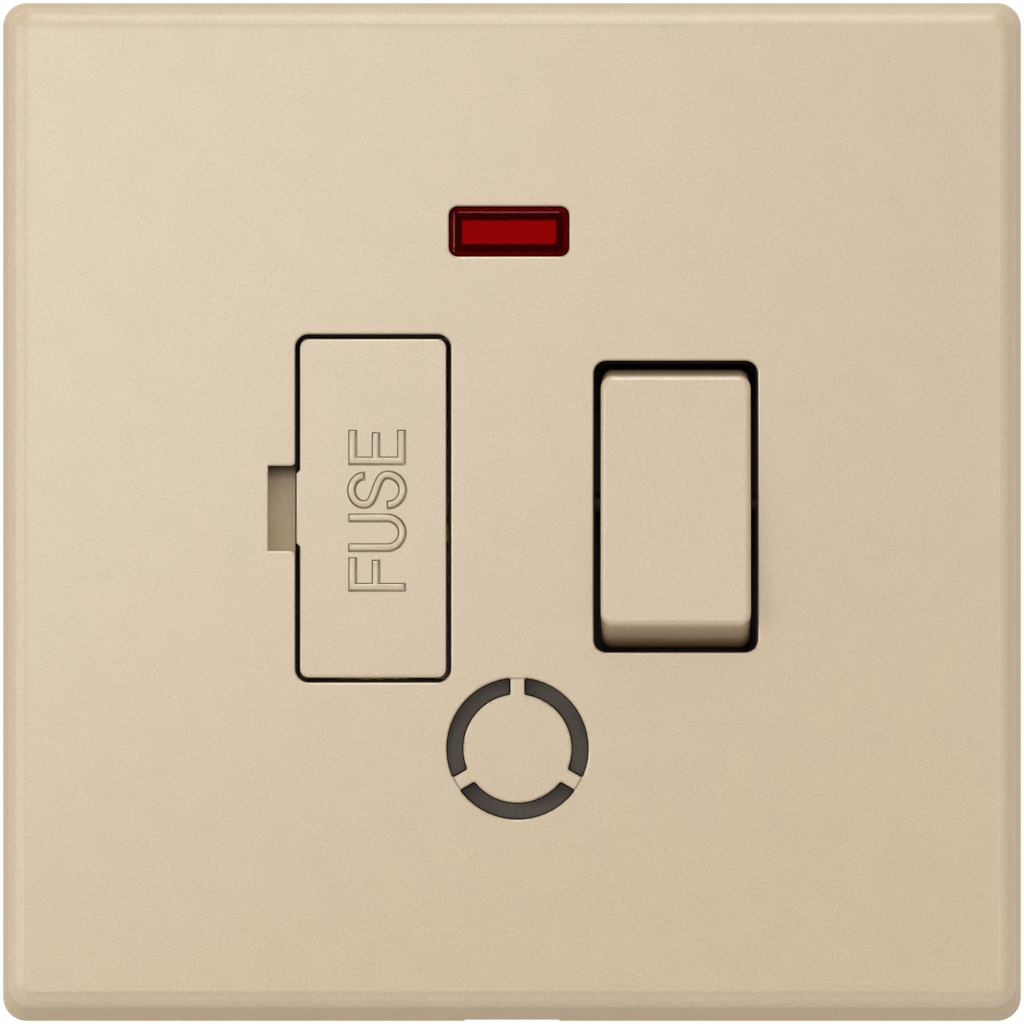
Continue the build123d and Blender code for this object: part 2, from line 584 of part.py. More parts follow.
def rear_housing():
    """Tray that carries the contacts, with open banks behind it for the terminals."""
    tray = slab(module_outline(0), PARTING_Y, FLOOR_BACK_Y)
    tray = fillet(tray.faces().sort_by(Axis.Y)[-1].edges(), MODULE_BACK_R)
    tray -= slab(module_outline(MODULE_WALL), PARTING_Y, FLOOR_Y)
    tray += terminal_banks()
    passage = Pos(OUTLET_X, OUTLET_Z)
    tray += slab(passage * Circle(PASSAGE_OUTER_R), PARTING_Y, FLOOR_Y)
    for x, z in HOUSING_SCREWS:
        tray += slab(Pos(x, z) * Circle(PILLAR_R), PARTING_Y, FLOOR_Y)
    for x, z in GRIP_SCREWS:
        tray += slab(Pos(x, z) * Circle(GRIP_BOSS_R), FLOOR_BACK_Y, GRIP_Y)
    partition_half = POLE_PITCH / 2 - CRADLE_HALF_W - PARTITION_GAP
    partition_low = (ROCKER_X - partition_half, ROCKER_Z - CRADLE_TAIL)
    partition_high = (ROCKER_X + partition_half, TERMINAL_Z)
    tray += slab(span(partition_low, partition_high), PARTING_Y + PARTITION_FRONT_GAP, FLOOR_Y)
    earth_bank = terminal_pocket(TOP_TERMINALS["earth"], 1, BANK_WALL)
    tray += slab(earth_bank, FLOOR_Y - SHELF_T, FLOOR_Y)
    for _, places, side in terminals():
        tray -= slab(terminal_pocket(places, side, 0), FLOOR_Y, FLOOR_BACK_Y + BANK_H)
    tray -= slab(passage * Circle(PASSAGE_R), PARTING_Y, FLOOR_BACK_Y)
    for x, z in HOUSING_SCREWS:
        tray -= slab(Pos(x, z) * Circle(HOUSING_SCREW_R + CLEARANCE_FIT), PARTING_Y, FLOOR_BACK_Y)
    for x, z in GRIP_SCREWS:
        tray -= slab(Pos(x, z) * Circle(HOUSING_SCREW_R + THREAD_FIT), FLOOR_BACK_Y, GRIP_Y)
    return tray


def rocker_section(y, inset, corner_r):
    """Rocker's front-view outline at a depth, drawn in by an inset, on its own plane."""
    growth = (y - ROCKER_FACE_Y) * math.tan(math.radians(ROCKER_DRAFT))
    width = ROCKER_W - 2 * inset
    height = ROCKER_FACE_H + 2 * growth - 2 * inset
    return Plane.XZ.offset(-y) * Pos(ROCKER_X, ROCKER_Z) * RectangleRounded(width, height, corner_r)


def rocker():
    """Hollow rocker with drafted ends, trunnions and two plunger tubes, at rest in its off position."""
    outside = [rocker_section(y, 0, ROCKER_CORNER_R) for y in (ROCKER_FACE_Y, ROCKER_SKIRT_Y)]
    body = loft(outside)
    body = fillet(body.faces().sort_by(Axis.Y)[0].edges(), ROCKER_EDGE_R)
    roof = ROCKER_FACE_Y + ROCKER_WALL
    body -= loft([rocker_section(y, ROCKER_WALL, ROCKER_INNER_R) for y in (roof, ROCKER_SKIRT_Y)])
    for x in (LIVE_X, NEUTRAL_X):
        body += slab(Pos(x, ROCKER_Z) * Circle(TUBE_R), roof, TUBE_BACK_Y)
    ear = Pos(PIVOT_Y, ROCKER_Z) * Circle(EAR_R)
    ear += span((roof, ROCKER_Z - EAR_R), (PIVOT_Y, ROCKER_Z + EAR_R))
    pin = Pos(PIVOT_Y, ROCKER_Z) * Circle(TRUNNION_R)
    half_w = ROCKER_W / 2
    pin_end = ROCKER_WELL_W / 2 + WELL_WALL
    body += bar(ear, ROCKER_X - half_w, ROCKER_X - half_w + ROCKER_WALL)
    body += bar(ear, ROCKER_X + half_w - ROCKER_WALL, ROCKER_X + half_w)
    body += bar(pin, ROCKER_X - pin_end, ROCKER_X - half_w)
    body += bar(pin, ROCKER_X + half_w, ROCKER_X + pin_end)
    for x in (LIVE_X, NEUTRAL_X):
        body -= slab(Pos(x, ROCKER_Z) * Circle(TUBE_BORE_R), TUBE_FLOOR_Y, TUBE_BACK_Y)
    return turned(body, -ROCKER_SWING, PIVOT_Y, ROCKER_Z)


def plunger(x):
    """Round-nosed plunger in the rocker's tube."""
    nose_y = PLUNGER_TIP_Y - PLUNGER_R
    body = slab(Pos(x, ROCKER_Z) * Circle(PLUNGER_R), PLUNGER_BACK_Y, nose_y)
    body += Pos(x, nose_y, ROCKER_Z) * Sphere(PLUNGER_R)
    return turned(body, -ROCKER_SWING, PIVOT_Y, ROCKER_Z)


def plunger_spring(x):
    """Coil spring between the tube's floor and the plunger."""
    length = PLUNGER_BACK_Y - TUBE_FLOOR_Y - 2 * SPRING_WIRE_R
    start = (x, TUBE_FLOOR_Y + SPRING_WIRE_R, ROCKER_Z)
    coil = Helix(length / SPRING_TURNS, length, SPRING_R, center=start, direction=(0, 1, 0))
    wire = sweep(Plane(origin=coil @ 0, z_dir=coil % 0) * Circle(SPRING_WIRE_R), path=coil)
    return turned(wire, -ROCKER_SWING, PIVOT_Y, ROCKER_Z)


def blade(x):
    """Seesaw blade with side pins, holed for its contact tip, at rest in its off position."""
    profile = span((BLADE_Y, ROCKER_Z - BLADE_TAIL), (BLADE_Y + BLADE_T, ROCKER_Z + BLADE_TOP))
    body = bar(profile, x - BLADE_W / 2, x + BLADE_W / 2)
    pin = Pos(BLADE_Y, ROCKER_Z) * Circle(BLADE_PIN_R)
    body += bar(pin, x - CRADLE_HALF_W, x - BLADE_W / 2 + EAR_GAP)
    body += bar(pin, x + BLADE_W / 2 - EAR_GAP, x + CRADLE_HALF_W)
    rivet = Pos(x, ROCKER_Z + TIP_ARM) * Circle(TIP_SHANK_R)
    body -= slab(rivet, BLADE_Y, BLADE_Y + BLADE_T)
    return turned(body, BLADE_SWING, BLADE_Y, ROCKER_Z)


def blade_tip(x):
    """Domed silver rivet in the blade's upper end."""
    z = ROCKER_Z + TIP_ARM
    back = BLADE_Y + BLADE_T
    dome = Pos(x, BLADE_Y + TIP_CENTRE, z) * Sphere(TIP_DOME_R)
    head = dome & slab(Pos(x, z) * Circle(TIP_R), back, back + TIP_H)
    tip = head + slab(Pos(x, z) * Circle(TIP_SHANK_R), BLADE_Y, back)
    return turned(tip, BLADE_SWING, BLADE_Y, ROCKER_Z)


def fixed_tip(x):
    """Flat silver rivet on a supply contact."""
    spot = Pos(x, ROCKER_Z + TIP_ARM)
    return slab(spot * Circle(FIXED_TIP_R), STRIP_Y - FIXED_TIP_H, STRIP_Y) + slab(
        spot * Circle(TIP_SHANK_R), STRIP_Y, FLOOR_Y
    )


def supply_contact(x):
    """Flat strip from the fixed contact tip to the supply terminal."""
    tip_z = ROCKER_Z + TIP_ARM
    low = tip_z - FIXED_TIP_R - CONTACT_MARGIN
    strip = span((x - STRIP_W / 2, low), (x + STRIP_W / 2, STRIP_END_Z))
    strip -= Pos(x, tip_z) * Circle(TIP_SHANK_R)
    return slab(strip, STRIP_Y, FLOOR_Y)


def cradle_base(x):
    """Outline of the strip under a blade."""
    low = (x - CRADLE_HALF_W, ROCKER_Z - CRADLE_TAIL)
    return span(low, (x + CRADLE_HALF_W, ROCKER_Z + CRADLE_TOP))


def cradle(x):
    """Two notched ears that carry a blade's pins, and the stop that its tail rests on."""
    half_w = CRADLE_EAR_W / 2
    tip = BLADE_Y - CRADLE_EAR_TIP
    ear = span((tip, ROCKER_Z - half_w), (STRIP_Y, ROCKER_Z + half_w))
    notch_r = BLADE_PIN_R + BLADE_PIN_FIT
    ear -= Pos(BLADE_Y, ROCKER_Z) * Circle(notch_r)
    ear -= span((tip, ROCKER_Z - notch_r), (BLADE_Y, ROCKER_Z + notch_r))
    left = bar(ear, x - CRADLE_HALF_W, x - CRADLE_HALF_W + STRIP_T)
    right = bar(ear, x + CRADLE_HALF_W - STRIP_T, x + CRADLE_HALF_W)
    stop_high = ROCKER_Z - BLADE_TAIL + STOP_L
    stop = span((x - BLADE_W / 2, stop_high - STOP_L), (x + BLADE_W / 2, stop_high))
    return left + right + slab(stop, STOP_Y, STRIP_Y)


def fuse_clip(z):
    """Two sprung jaws that grip a fuse cap, flared where the cap goes in."""
    inside = FUSE_R + CLIP_FIT
    bend_y = FUSE_Y - CLIP_REACH
    mouth_y = bend_y - CLIP_FLARE_L
    jaws = Part()
    for side in (-1, 1):
        profile = Polygon(
            (FUSE_X + side * inside, STRIP_Y),
            (FUSE_X + side * inside, bend_y),
            (FUSE_X + side * (inside + CLIP_FLARE), mouth_y),
            (FUSE_X + side * (inside + CLIP_FLARE + CLIP_T), mouth_y),
            (FUSE_X + side * (inside + CLIP_T), bend_y),
            (FUSE_X + side * (inside + CLIP_T), STRIP_Y),
            align=None,
        )
        jaws += post(profile, z - CLIP_W / 2, z + CLIP_W / 2)
    return jaws


def live_link():
    """Strip from the live blade's cradle to the upper fuse clip."""
    run_high = ROCKER_Z + LINK_RUN_DROP
    run_low = run_high - LINK_RUN_W
    clip_z = FUSE_Z + FUSE_CLIP_Z
    strip = cradle_base(LIVE_X)
    strip += span((FUSE_X - CLIP_HALF_W, run_low), (LIVE_X, run_high))
    strip += span((FUSE_X - CLIP_HALF_W, run_low), (FUSE_X + CLIP_HALF_W, clip_z + CLIP_W / 2))
    return slab(strip, STRIP_Y, FLOOR_Y) + cradle(LIVE_X) + fuse_clip(clip_z)


def load_live_clip():
    """Strip from the lower fuse clip to the load live terminal."""
    clip_z = FUSE_Z - FUSE_CLIP_Z
    strip = span((FUSE_X - STRIP_W / 2, -STRIP_END_Z), (FUSE_X + STRIP_W / 2, clip_z))
    half_clip = CLIP_W / 2
    strip += span((FUSE_X - CLIP_HALF_W, clip_z - half_clip), (FUSE_X + CLIP_HALF_W, clip_z + half_clip))
    return slab(strip, STRIP_Y, FLOOR_Y) + fuse_clip(clip_z)


def load_neutral_link():
    """Strip from the neutral blade's cradle to the load neutral terminal."""
    strip = cradle_base(NEUTRAL_X)
    strip += span((NEUTRAL_X - STRIP_W / 2, -STRIP_END_Z), (NEUTRAL_X + STRIP_W / 2, ROCKER_Z))
    return slab(strip, STRIP_Y, FLOOR_Y) + cradle(NEUTRAL_X)


def terminal(places, side):
    """Brass block with its wire bores and the threaded holes of their screws."""
    low_z = side * TERMINAL_Z - TERMINAL_L / 2
    high_z = low_z + TERMINAL_L
    outline = span((places[0] - TERMINAL_W / 2, low_z), (places[-1] + TERMINAL_W / 2, high_z))
    block = slab(outline, FLOOR_Y, TERMINAL_BACK_Y)
    block = chamfer(block.edges(), TERMINAL_CHAMFER)
    for x in places:
        block -= post(Pos(x, BORE_Y) * Circle(BORE_R), low_z, high_z)
        thread = Pos(x, side * TERMINAL_Z) * Circle(TERMINAL_SCREW_R + THREAD_FIT)
        block -= slab(thread, BORE_Y, TERMINAL_BACK_Y)
    return block


def slotted_screw(place, tip_y, seat_y, shank_r, head_r, head_h):
    """Screw that points to the front, with a slotted round head."""
    spot = Pos(place[0], place[1])
    top_y = seat_y + head_h
    head = slab(spot * Circle(head_r), seat_y, top_y)
    head = fillet(head.faces().sort_by(Axis.Y)[-1].edges(), SCREW_RIM_R)
    slot = slab(spot * Rectangle(2 * head_r, SCREW_SLOT_W), top_y - SCREW_SLOT_DEPTH, top_y)
    return head - slot + slab(spot * Circle(shank_r), tip_y, seat_y)


def terminal_screws():
    """One screw for each wire bore, backed off so that the bore is clear."""
    screws = []
    tip_y = BORE_Y + BORE_R + TERMINAL_SCREW_BACKED_OFF
    seat_y = TERMINAL_BACK_Y + TERMINAL_SCREW_LIFT
    for _, places, side in terminals():
        for x in places:
            place = (x, side * TERMINAL_Z)
            screw = slotted_screw(place, tip_y, seat_y, TERMINAL_SCREW_R, TERMINAL_HEAD_R, TERMINAL_HEAD_H)
            screws.append(screw)
    return Compound(children=screws)


def housing_screws():
    """Screws that hold the rear housing to the frame."""
    tip_y = PARTING_Y - HOUSING_SCREW_BITE
    screws = [
        slotted_screw(place, tip_y, FLOOR_BACK_Y, HOUSING_SCREW_R, HOUSING_HEAD_R, HOUSING_HEAD_H)
        for place in HOUSING_SCREWS
    ]
    return Compound(children=screws)


def cord_grip():
    """Bar with ridges that clamps the flex behind the housing."""
    outline = Pos(OUTLET_X, GRIP_Z) * SlotOverall(GRIP_SPAN + GRIP_W, GRIP_W)
    grip = slab(outline, GRIP_Y, GRIP_Y + GRIP_T)
    grip = fillet(grip.faces().sort_by(Axis.Y)[-1].edges(), GRIP_EDGE_R)
    ridge_half = GRIP_SPAN / 2 - GRIP_BOSS_R
    for side in (-1, 1):
        ridge = Pos(GRIP_Y, GRIP_Z + side * GRIP_RIDGE_PITCH / 2) * Circle(GRIP_RIDGE_R)
        grip += bar(ridge, OUTLET_X - ridge_half, OUTLET_X + ridge_half)
    for x, z in GRIP_SCREWS:
        grip -= slab(Pos(x, z) * Circle(HOUSING_SCREW_R + CLEARANCE_FIT), GRIP_Y, GRIP_Y + GRIP_T)
    return grip


def cord_grip_screws():
    """Screws of the cord grip."""
    tip_y = GRIP_Y - GRIP_SCREW_DEPTH
    screws = [
        slotted_screw(place, tip_y, GRIP_Y + GRIP_T, HOUSING_SCREW_R, GRIP_HEAD_R, GRIP_HEAD_H)
        for place in GRIP_SCREWS
    ]
    return Compound(children=screws)


def carrier_lip():
    """Outline of the lip that a screwdriver catches in the notch."""
    left = FUSE_X - CARRIER_W / 2
    half_h = NOTCH_H / 2 - NOTCH_CORNER_R
    return Polygon(
        (left, FUSE_Z - half_h),
        (left, FUSE_Z + half_h),
        (left - CARRIER_LIP, FUSE_Z + half_h - CARRIER_LIP),
        (left - CARRIER_LIP, FUSE_Z - half_h + CARRIER_LIP),
        align=None,
    )


def fuse_carrier():
    """Drawer with a flush face, a cradle for the fuse, side rails and two guide legs."""
    spot = Pos(FUSE_X, FUSE_Z)
    face = slab(spot * RectangleRounded(CARRIER_W, CARRIER_H, CARRIER_CORNER_R), FACE_Y, CARRIER_BACK_Y)
    face += slab(carrier_lip(), FACE_Y, FACE_Y + CARRIER_LIP_T)
    carrier = fillet(face.faces().sort_by(Axis.Y)[0].edges(), CARRIER_EDGE_R)
    seat_r = FUSE_R + FUSE_FIT
    cradle_w = 2 * (seat_r + CARRIER_CRADLE_WALL)
    cradle_back = FUSE_Y + math.sqrt(seat_r ** 2 - (CARRIER_MOUTH / 2) ** 2)
    carrier += slab(spot * Rectangle(cradle_w, CARRIER_CRADLE_L), CARRIER_BACK_Y, cradle_back)
    leg_z = CARRIER_H / 2 - CARRIER_END_WALL / 2
    for side in (-1, 1):
        leg = Pos(FUSE_X, FUSE_Z + side * leg_z) * Rectangle(CARRIER_LEG_W, CARRIER_END_WALL)
        carrier += slab(leg, CARRIER_BACK_Y, LEG_BACK_Y)
        rail_x = FUSE_X + side * (CARRIER_W / 2 - CARRIER_RAIL_GAP - CARRIER_RAIL_T / 2)
        rail = Pos(rail_x, FUSE_Z) * Rectangle(CARRIER_RAIL_T, CARRIER_H - 2 * CARRIER_CORNER_R)
        carrier += slab(rail, CARRIER_BACK_Y, FUSE_Y)
    seat = Pos(FUSE_X, FUSE_Y) * Circle(seat_r)
    half_l = CARRIER_CRADLE_L / 2
    return carrier - post(seat, FUSE_Z - half_l, FUSE_Z + half_l)


def fuse_barrel():
    """Ceramic tube of the fuse, filled."""
    spot = Pos(FUSE_X, FUSE_Y)
    half_l = FUSE_L / 2 - FUSE_CAP_END
    return post(spot * Circle(FUSE_R - FUSE_CAP_T - FUSE_FIT), FUSE_Z - half_l, FUSE_Z + half_l)


def fuse_end_caps():
    """Two pressed caps on the fuse's ends."""
    spot = Pos(FUSE_X, FUSE_Y)
    caps = []
    for side in (-1, 1):
        end = FUSE_Z + side * FUSE_L / 2
        mouth = end - side * FUSE_CAP_L
        floor = end - side * FUSE_CAP_END
        cap = post(spot * Circle(FUSE_R), min(end, mouth), max(end, mouth))
        cap -= post(spot * Circle(FUSE_R - FUSE_CAP_T), min(floor, mouth), max(floor, mouth))
        caps.append(cap)
    return Compound(children=caps)


def neon_lens():
    """Red window with a bevelled raised face, a flange behind the plate and a hollow back."""
    spot = Pos(NEON_X, NEON_Z)
    front_y = FACE_Y + LENS_RECESS
    bevel_y = front_y + LENS_BEVEL_H
    rim_y = front_y + LENS_STEP + LENS_BEVEL_H
    raised_w = LENS_W - 2 * LENS_RIM
    raised_h = LENS_H - 2 * LENS_RIM
    raised = RectangleRounded(raised_w, raised_h, LENS_CORNER_R - LENS_RIM)
    flat = RectangleRounded(raised_w - 2 * LENS_BEVEL, raised_h - 2 * LENS_BEVEL, LENS_BEVEL_CORNER_R)
    lens = loft([Plane.XZ.offset(-front_y) * spot * flat, Plane.XZ.offset(-bevel_y) * spot * raised])
    lens += slab(spot * raised, bevel_y, rim_y)
    lens += slab(spot * RectangleRounded(LENS_W, LENS_H, LENS_CORNER_R), rim_y, LENS_BACK_Y)
    flange = RectangleRounded(LENS_FLANGE_W, LENS_FLANGE_H, LENS_CORNER_R + LENS_FLANGE)
    lens += slab(spot * flange, SEAT_FRONT_Y, LENS_FLANGE_BACK_Y)
    hollow = Rectangle(LENS_W - 2 * LENS_WALL, LENS_H - 2 * LENS_WALL)
    return lens - slab(spot * hollow, rim_y + LENS_FRONT_T, LENS_BACK_Y)


def neon_lamp():
    """Glass capsule that lies across behind the lens."""
    body = bar(Pos(LAMP_Y, NEON_Z) * Circle(LAMP_R), NEON_X - LAMP_L / 2, NEON_X + LAMP_L / 2)
    return fillet(body.edges().filter_by(GeomType.CIRCLE), LAMP_END_R)


def lead_x(side):
    """Place across of a lamp lead behind the neon well."""
    return NEON_X + side * (LAMP_L / 2 + LEAD_REACH)


def wire(*points):
    """Round lead along straight runs joined by tangent arcs."""
    path = FilletPolyline(*points, radius=LEAD_BEND)
    return sweep(Plane(origin=path @ 0, z_dir=path % 0) * Circle(LEAD_R), path=path)


def neon_live_lead():
    """Lead from the lamp's left end to the live link."""
    x = lead_x(-1)
    end_z = ROCKER_Z + LINK_RUN_DROP - LINK_RUN_W / 2
    return wire(
        (NEON_X - LAMP_L / 2, LAMP_Y, NEON_Z),
        (x, LAMP_Y, NEON_Z),
        (x, LEAD_Y, NEON_Z),
        (x, LEAD_Y, end_z),
        (x, STRIP_Y, end_z),
    )


def neon_neutral_lead():
    """Lead from the lamp's right end through the resistor to the load neutral link."""
    x = lead_x(1)
    upper = wire(
        (NEON_X + LAMP_L / 2, LAMP_Y, NEON_Z),
        (x, LAMP_Y, NEON_Z),
        (x, LEAD_Y, NEON_Z),
        (x, LEAD_Y, RESISTOR_Z + RESISTOR_L / 2),
    )
    low_z = ROCKER_Z - CRADLE_TAIL - LEAD_UNDER
    end_x = NEUTRAL_X - STRIP_W / 4
    lower = wire(
        (x, LEAD_Y, RESISTOR_Z - RESISTOR_L / 2),
        (x, LEAD_Y, low_z),
        (end_x, LEAD_Y, low_z),
        (end_x, STRIP_Y, low_z),
    )
    return Compound(children=[upper, lower])


def ballast_resistor():
    """Resistor in line with the neutral lead."""
    spot = Pos(lead_x(1), LEAD_Y)
    body = post(spot * Circle(RESISTOR_R), RESISTOR_Z - RESISTOR_L / 2, RESISTOR_Z + RESISTOR_L / 2)
    return fillet(body.edges().filter_by(GeomType.CIRCLE), RESISTOR_END_R)


def flex_grommet():
    """Rubber grommet in the flex passage, closed by a dished skin behind the knock-out."""
    spigot_r = PASSAGE_R - GROMMET_FIT
    skin_back = GROMMET_FRONT_Y + GROMMET_T
    back = skin_back + GROMMET_SPIGOT
    profile = Polygon(
        (0, GROMMET_FRONT_Y + GROMMET_DISH),
        (GROMMET_PIP_R, GROMMET_FRONT_Y + GROMMET_DISH),
        (spigot_r - GROMMET_WALL, GROMMET_FRONT_Y),
        (PASSAGE_OUTER_R, GROMMET_FRONT_Y),
        (PASSAGE_OUTER_R, skin_back),
        (spigot_r, skin_back),
        (spigot_r, back),
        (spigot_r - GROMMET_WALL, back),
        (spigot_r - GROMMET_WALL, skin_back),
        (GROMMET_PIP_R, skin_back + GROMMET_DISH),
        (0, skin_back + GROMMET_DISH),
        align=None,
    )
    return Pos(OUTLET_X, 0, OUTLET_Z) * revolve(profile, Axis.Y)


def build():
    """Every piece of the unit, by name."""
    pieces = {
        "cover_plate": cover_plate(),
        "mounting_frame": mounting_frame(),
        "rear_housing": rear_housing(),
        "housing_screws": housing_screws(),
        "rocker": rocker(),
        "fixed_contact_tips": Compound(children=[fixed_tip(LIVE_X), fixed_tip(NEUTRAL_X)]),
        "live_link": live_link(),
        "load_live_clip": load_live_clip(),
        "load_neutral_link": load_neutral_link(),
        "terminal_screws": terminal_screws(),
        "cord_grip": cord_grip(),
        "cord_grip_screws": cord_grip_screws(),
        "fuse_carrier": fuse_carrier(),
        "fuse_barrel": fuse_barrel(),
        "fuse_end_caps": fuse_end_caps(),
        "neon_lens": neon_lens(),
        "neon_lamp": neon_lamp(),
        "neon_live_lead": neon_live_lead(),
        "neon_neutral_lead": neon_neutral_lead(),
        "ballast_resistor": ballast_resistor(),
        "flex_grommet": flex_grommet(),
    }
    for pole, x in (("live", LIVE_X), ("neutral", NEUTRAL_X)):
        pieces[pole + "_plunger"] = plunger(x)
        pieces[pole + "_plunger_spring"] = plunger_spring(x)
        pieces[pole + "_blade"] = blade(x)
        pieces[pole + "_blade_tip"] = blade_tip(x)
        pieces["supply_" + pole + "_contact"] = supply_contact(x)
    for name, places, side in terminals():
        pieces[name + "_terminal"] = terminal(places, side)
    return pieces


os.makedirs("parts", exist_ok=True)
for name, piece in build().items():
    export_step(piece, "parts/" + name + ".step")
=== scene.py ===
import math

import bmesh
import bpy
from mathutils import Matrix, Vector
from mathutils.geometry import tessellate_polygon


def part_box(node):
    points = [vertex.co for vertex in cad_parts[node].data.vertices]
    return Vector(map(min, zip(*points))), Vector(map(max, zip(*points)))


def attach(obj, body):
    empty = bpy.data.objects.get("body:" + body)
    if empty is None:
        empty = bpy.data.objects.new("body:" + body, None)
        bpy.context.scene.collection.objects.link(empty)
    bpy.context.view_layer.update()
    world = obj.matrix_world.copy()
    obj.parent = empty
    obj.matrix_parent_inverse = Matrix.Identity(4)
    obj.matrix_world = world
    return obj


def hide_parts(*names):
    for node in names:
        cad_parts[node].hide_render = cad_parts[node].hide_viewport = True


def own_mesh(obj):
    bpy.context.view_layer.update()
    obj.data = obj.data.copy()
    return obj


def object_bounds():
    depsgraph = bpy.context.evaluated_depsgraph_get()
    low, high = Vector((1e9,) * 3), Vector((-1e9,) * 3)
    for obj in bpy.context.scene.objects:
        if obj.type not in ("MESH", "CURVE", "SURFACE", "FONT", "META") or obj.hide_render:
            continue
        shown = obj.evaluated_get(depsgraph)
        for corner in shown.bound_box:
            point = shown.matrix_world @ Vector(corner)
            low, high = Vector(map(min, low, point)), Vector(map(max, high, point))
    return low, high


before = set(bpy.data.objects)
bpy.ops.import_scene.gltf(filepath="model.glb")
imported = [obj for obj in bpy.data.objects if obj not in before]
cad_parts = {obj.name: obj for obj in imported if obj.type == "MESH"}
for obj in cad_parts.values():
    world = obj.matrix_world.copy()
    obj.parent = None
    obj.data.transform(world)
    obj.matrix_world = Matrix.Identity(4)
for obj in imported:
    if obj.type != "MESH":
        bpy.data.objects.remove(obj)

CAD_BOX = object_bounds()
MM = 0.001
WHITE = (1.0, 1.0, 1.0)

# Camera: straight at the plate, far off, so that depth hardly shifts anything
FIELD_WIDTH = 86.54 * MM
SENSOR_WIDTH = 36.0
FOCAL_LENGTH = 1000.0
CLIP_END = 20.0

# World and floor
FRONT_AMBIENT = 0.465
BACK_AMBIENT = 1.12
FRONT_MIRRORED = 0.4
BACK_MIRRORED = 1.0
BACKDROP_BLEND = 0.3
FLOOR_COLOUR = (0.72, 0.715, 0.71)
FLOOR_LIFT = 0.30
FLOOR_DROP = 30 * MM
FLOOR_SIDE = 500 * MM
FLOOR_FRONT = 50 * MM
FLOOR_BACK = 500 * MM

# Softboxes: place, width and height in millimetres, and share of its own colour that a white face would show
SOFTBOXES = {
    "top_light": ((0, -594, 535), 60, 560, 0.25),
    "top_steep_light": ((0, -250, 760), 60, 300, 0.07),
    "left_light": ((-514, -613, 0), 480, 60, 0.12),
    "left_high_light": ((-504, -601, 160), 480, 60, 0.10),
    "top_inner": ((0, -880, 235), 60, 270, 0.016),
    "left_steep_light": ((-760, -250, 0), 300, 60, 0.03),
    "left_inner": ((-235, -880, 0), 270, 60, 0.050),
    "right_light": ((514, -613, 0), 480, 60, 0.03),
    "right_inner": ((235, -880, 0), 270, 60, 0.034),
    "plate_veil": ((-60, -900, 55), 160, 160, 0.026),
}

# Lettering on the fuse carrier, in its own place along (u) and across (v) the word
CAP_HEIGHT = 4.74 * MM
STROKE = 0.62 * MM
BASELINE_X = -9.035 * MM
LETTER_STARTS = {"F": -6.62 * MM, "U": -3.285 * MM, "S": 0.346 * MM, "E": 4.03 * MM}
F_WIDTH = 2.78 * MM
E_WIDTH = 2.87 * MM
U_WIDTH = 3.13 * MM
U_DROP = 0.06 * MM
ARM_SHORT = 0.205 * MM
ARM_LOW = 2.17 * MM
ARM_HIGH = 2.77 * MM
S_TOP_CENTRE = (1.52 * MM, 3.49 * MM)
S_TOP_RADII = (1.195 * MM, 1.04 * MM)
S_LOW_CENTRE = (1.55 * MM, 1.43 * MM)
S_LOW_RADII = (1.26 * MM, 1.22 * MM)
S_TOP_ENDS = (-3.0, 190.0)
S_LOW_ENDS = (10.0, -183.0)
S_PULL = 0.85 * MM
ARC_STEPS = 24

# Section across a letter's outline, outwards and into the face: a groove beside a proud, rounded stroke
LETTER_SECTION = (
    (0.08 * MM, 0.0),
    (0.05 * MM, 0.05 * MM),
    (0.04 * MM, 0.56 * MM),
    (-0.05 * MM, 0.58 * MM),
    (-0.07 * MM, 0.10 * MM),
    (-0.08 * MM, -0.03 * MM),
    (-0.14 * MM, -0.07 * MM),
    (-0.22 * MM, -0.085 * MM),
)

# The groove's shift to the right and up from the strokes: it is wider on their right and lower sides
GROOVE_DRIFT = (0.045 * MM, -0.045 * MM)

MITRE_LIMIT = 0.5
FLAT_WEIGHT = 100
SMOOTH_ANGLE = math.radians(22)
WELD = 0.0001 * MM

# Where most of a noise field's values lie
NOISE_SPAN = (0.25, 0.75)


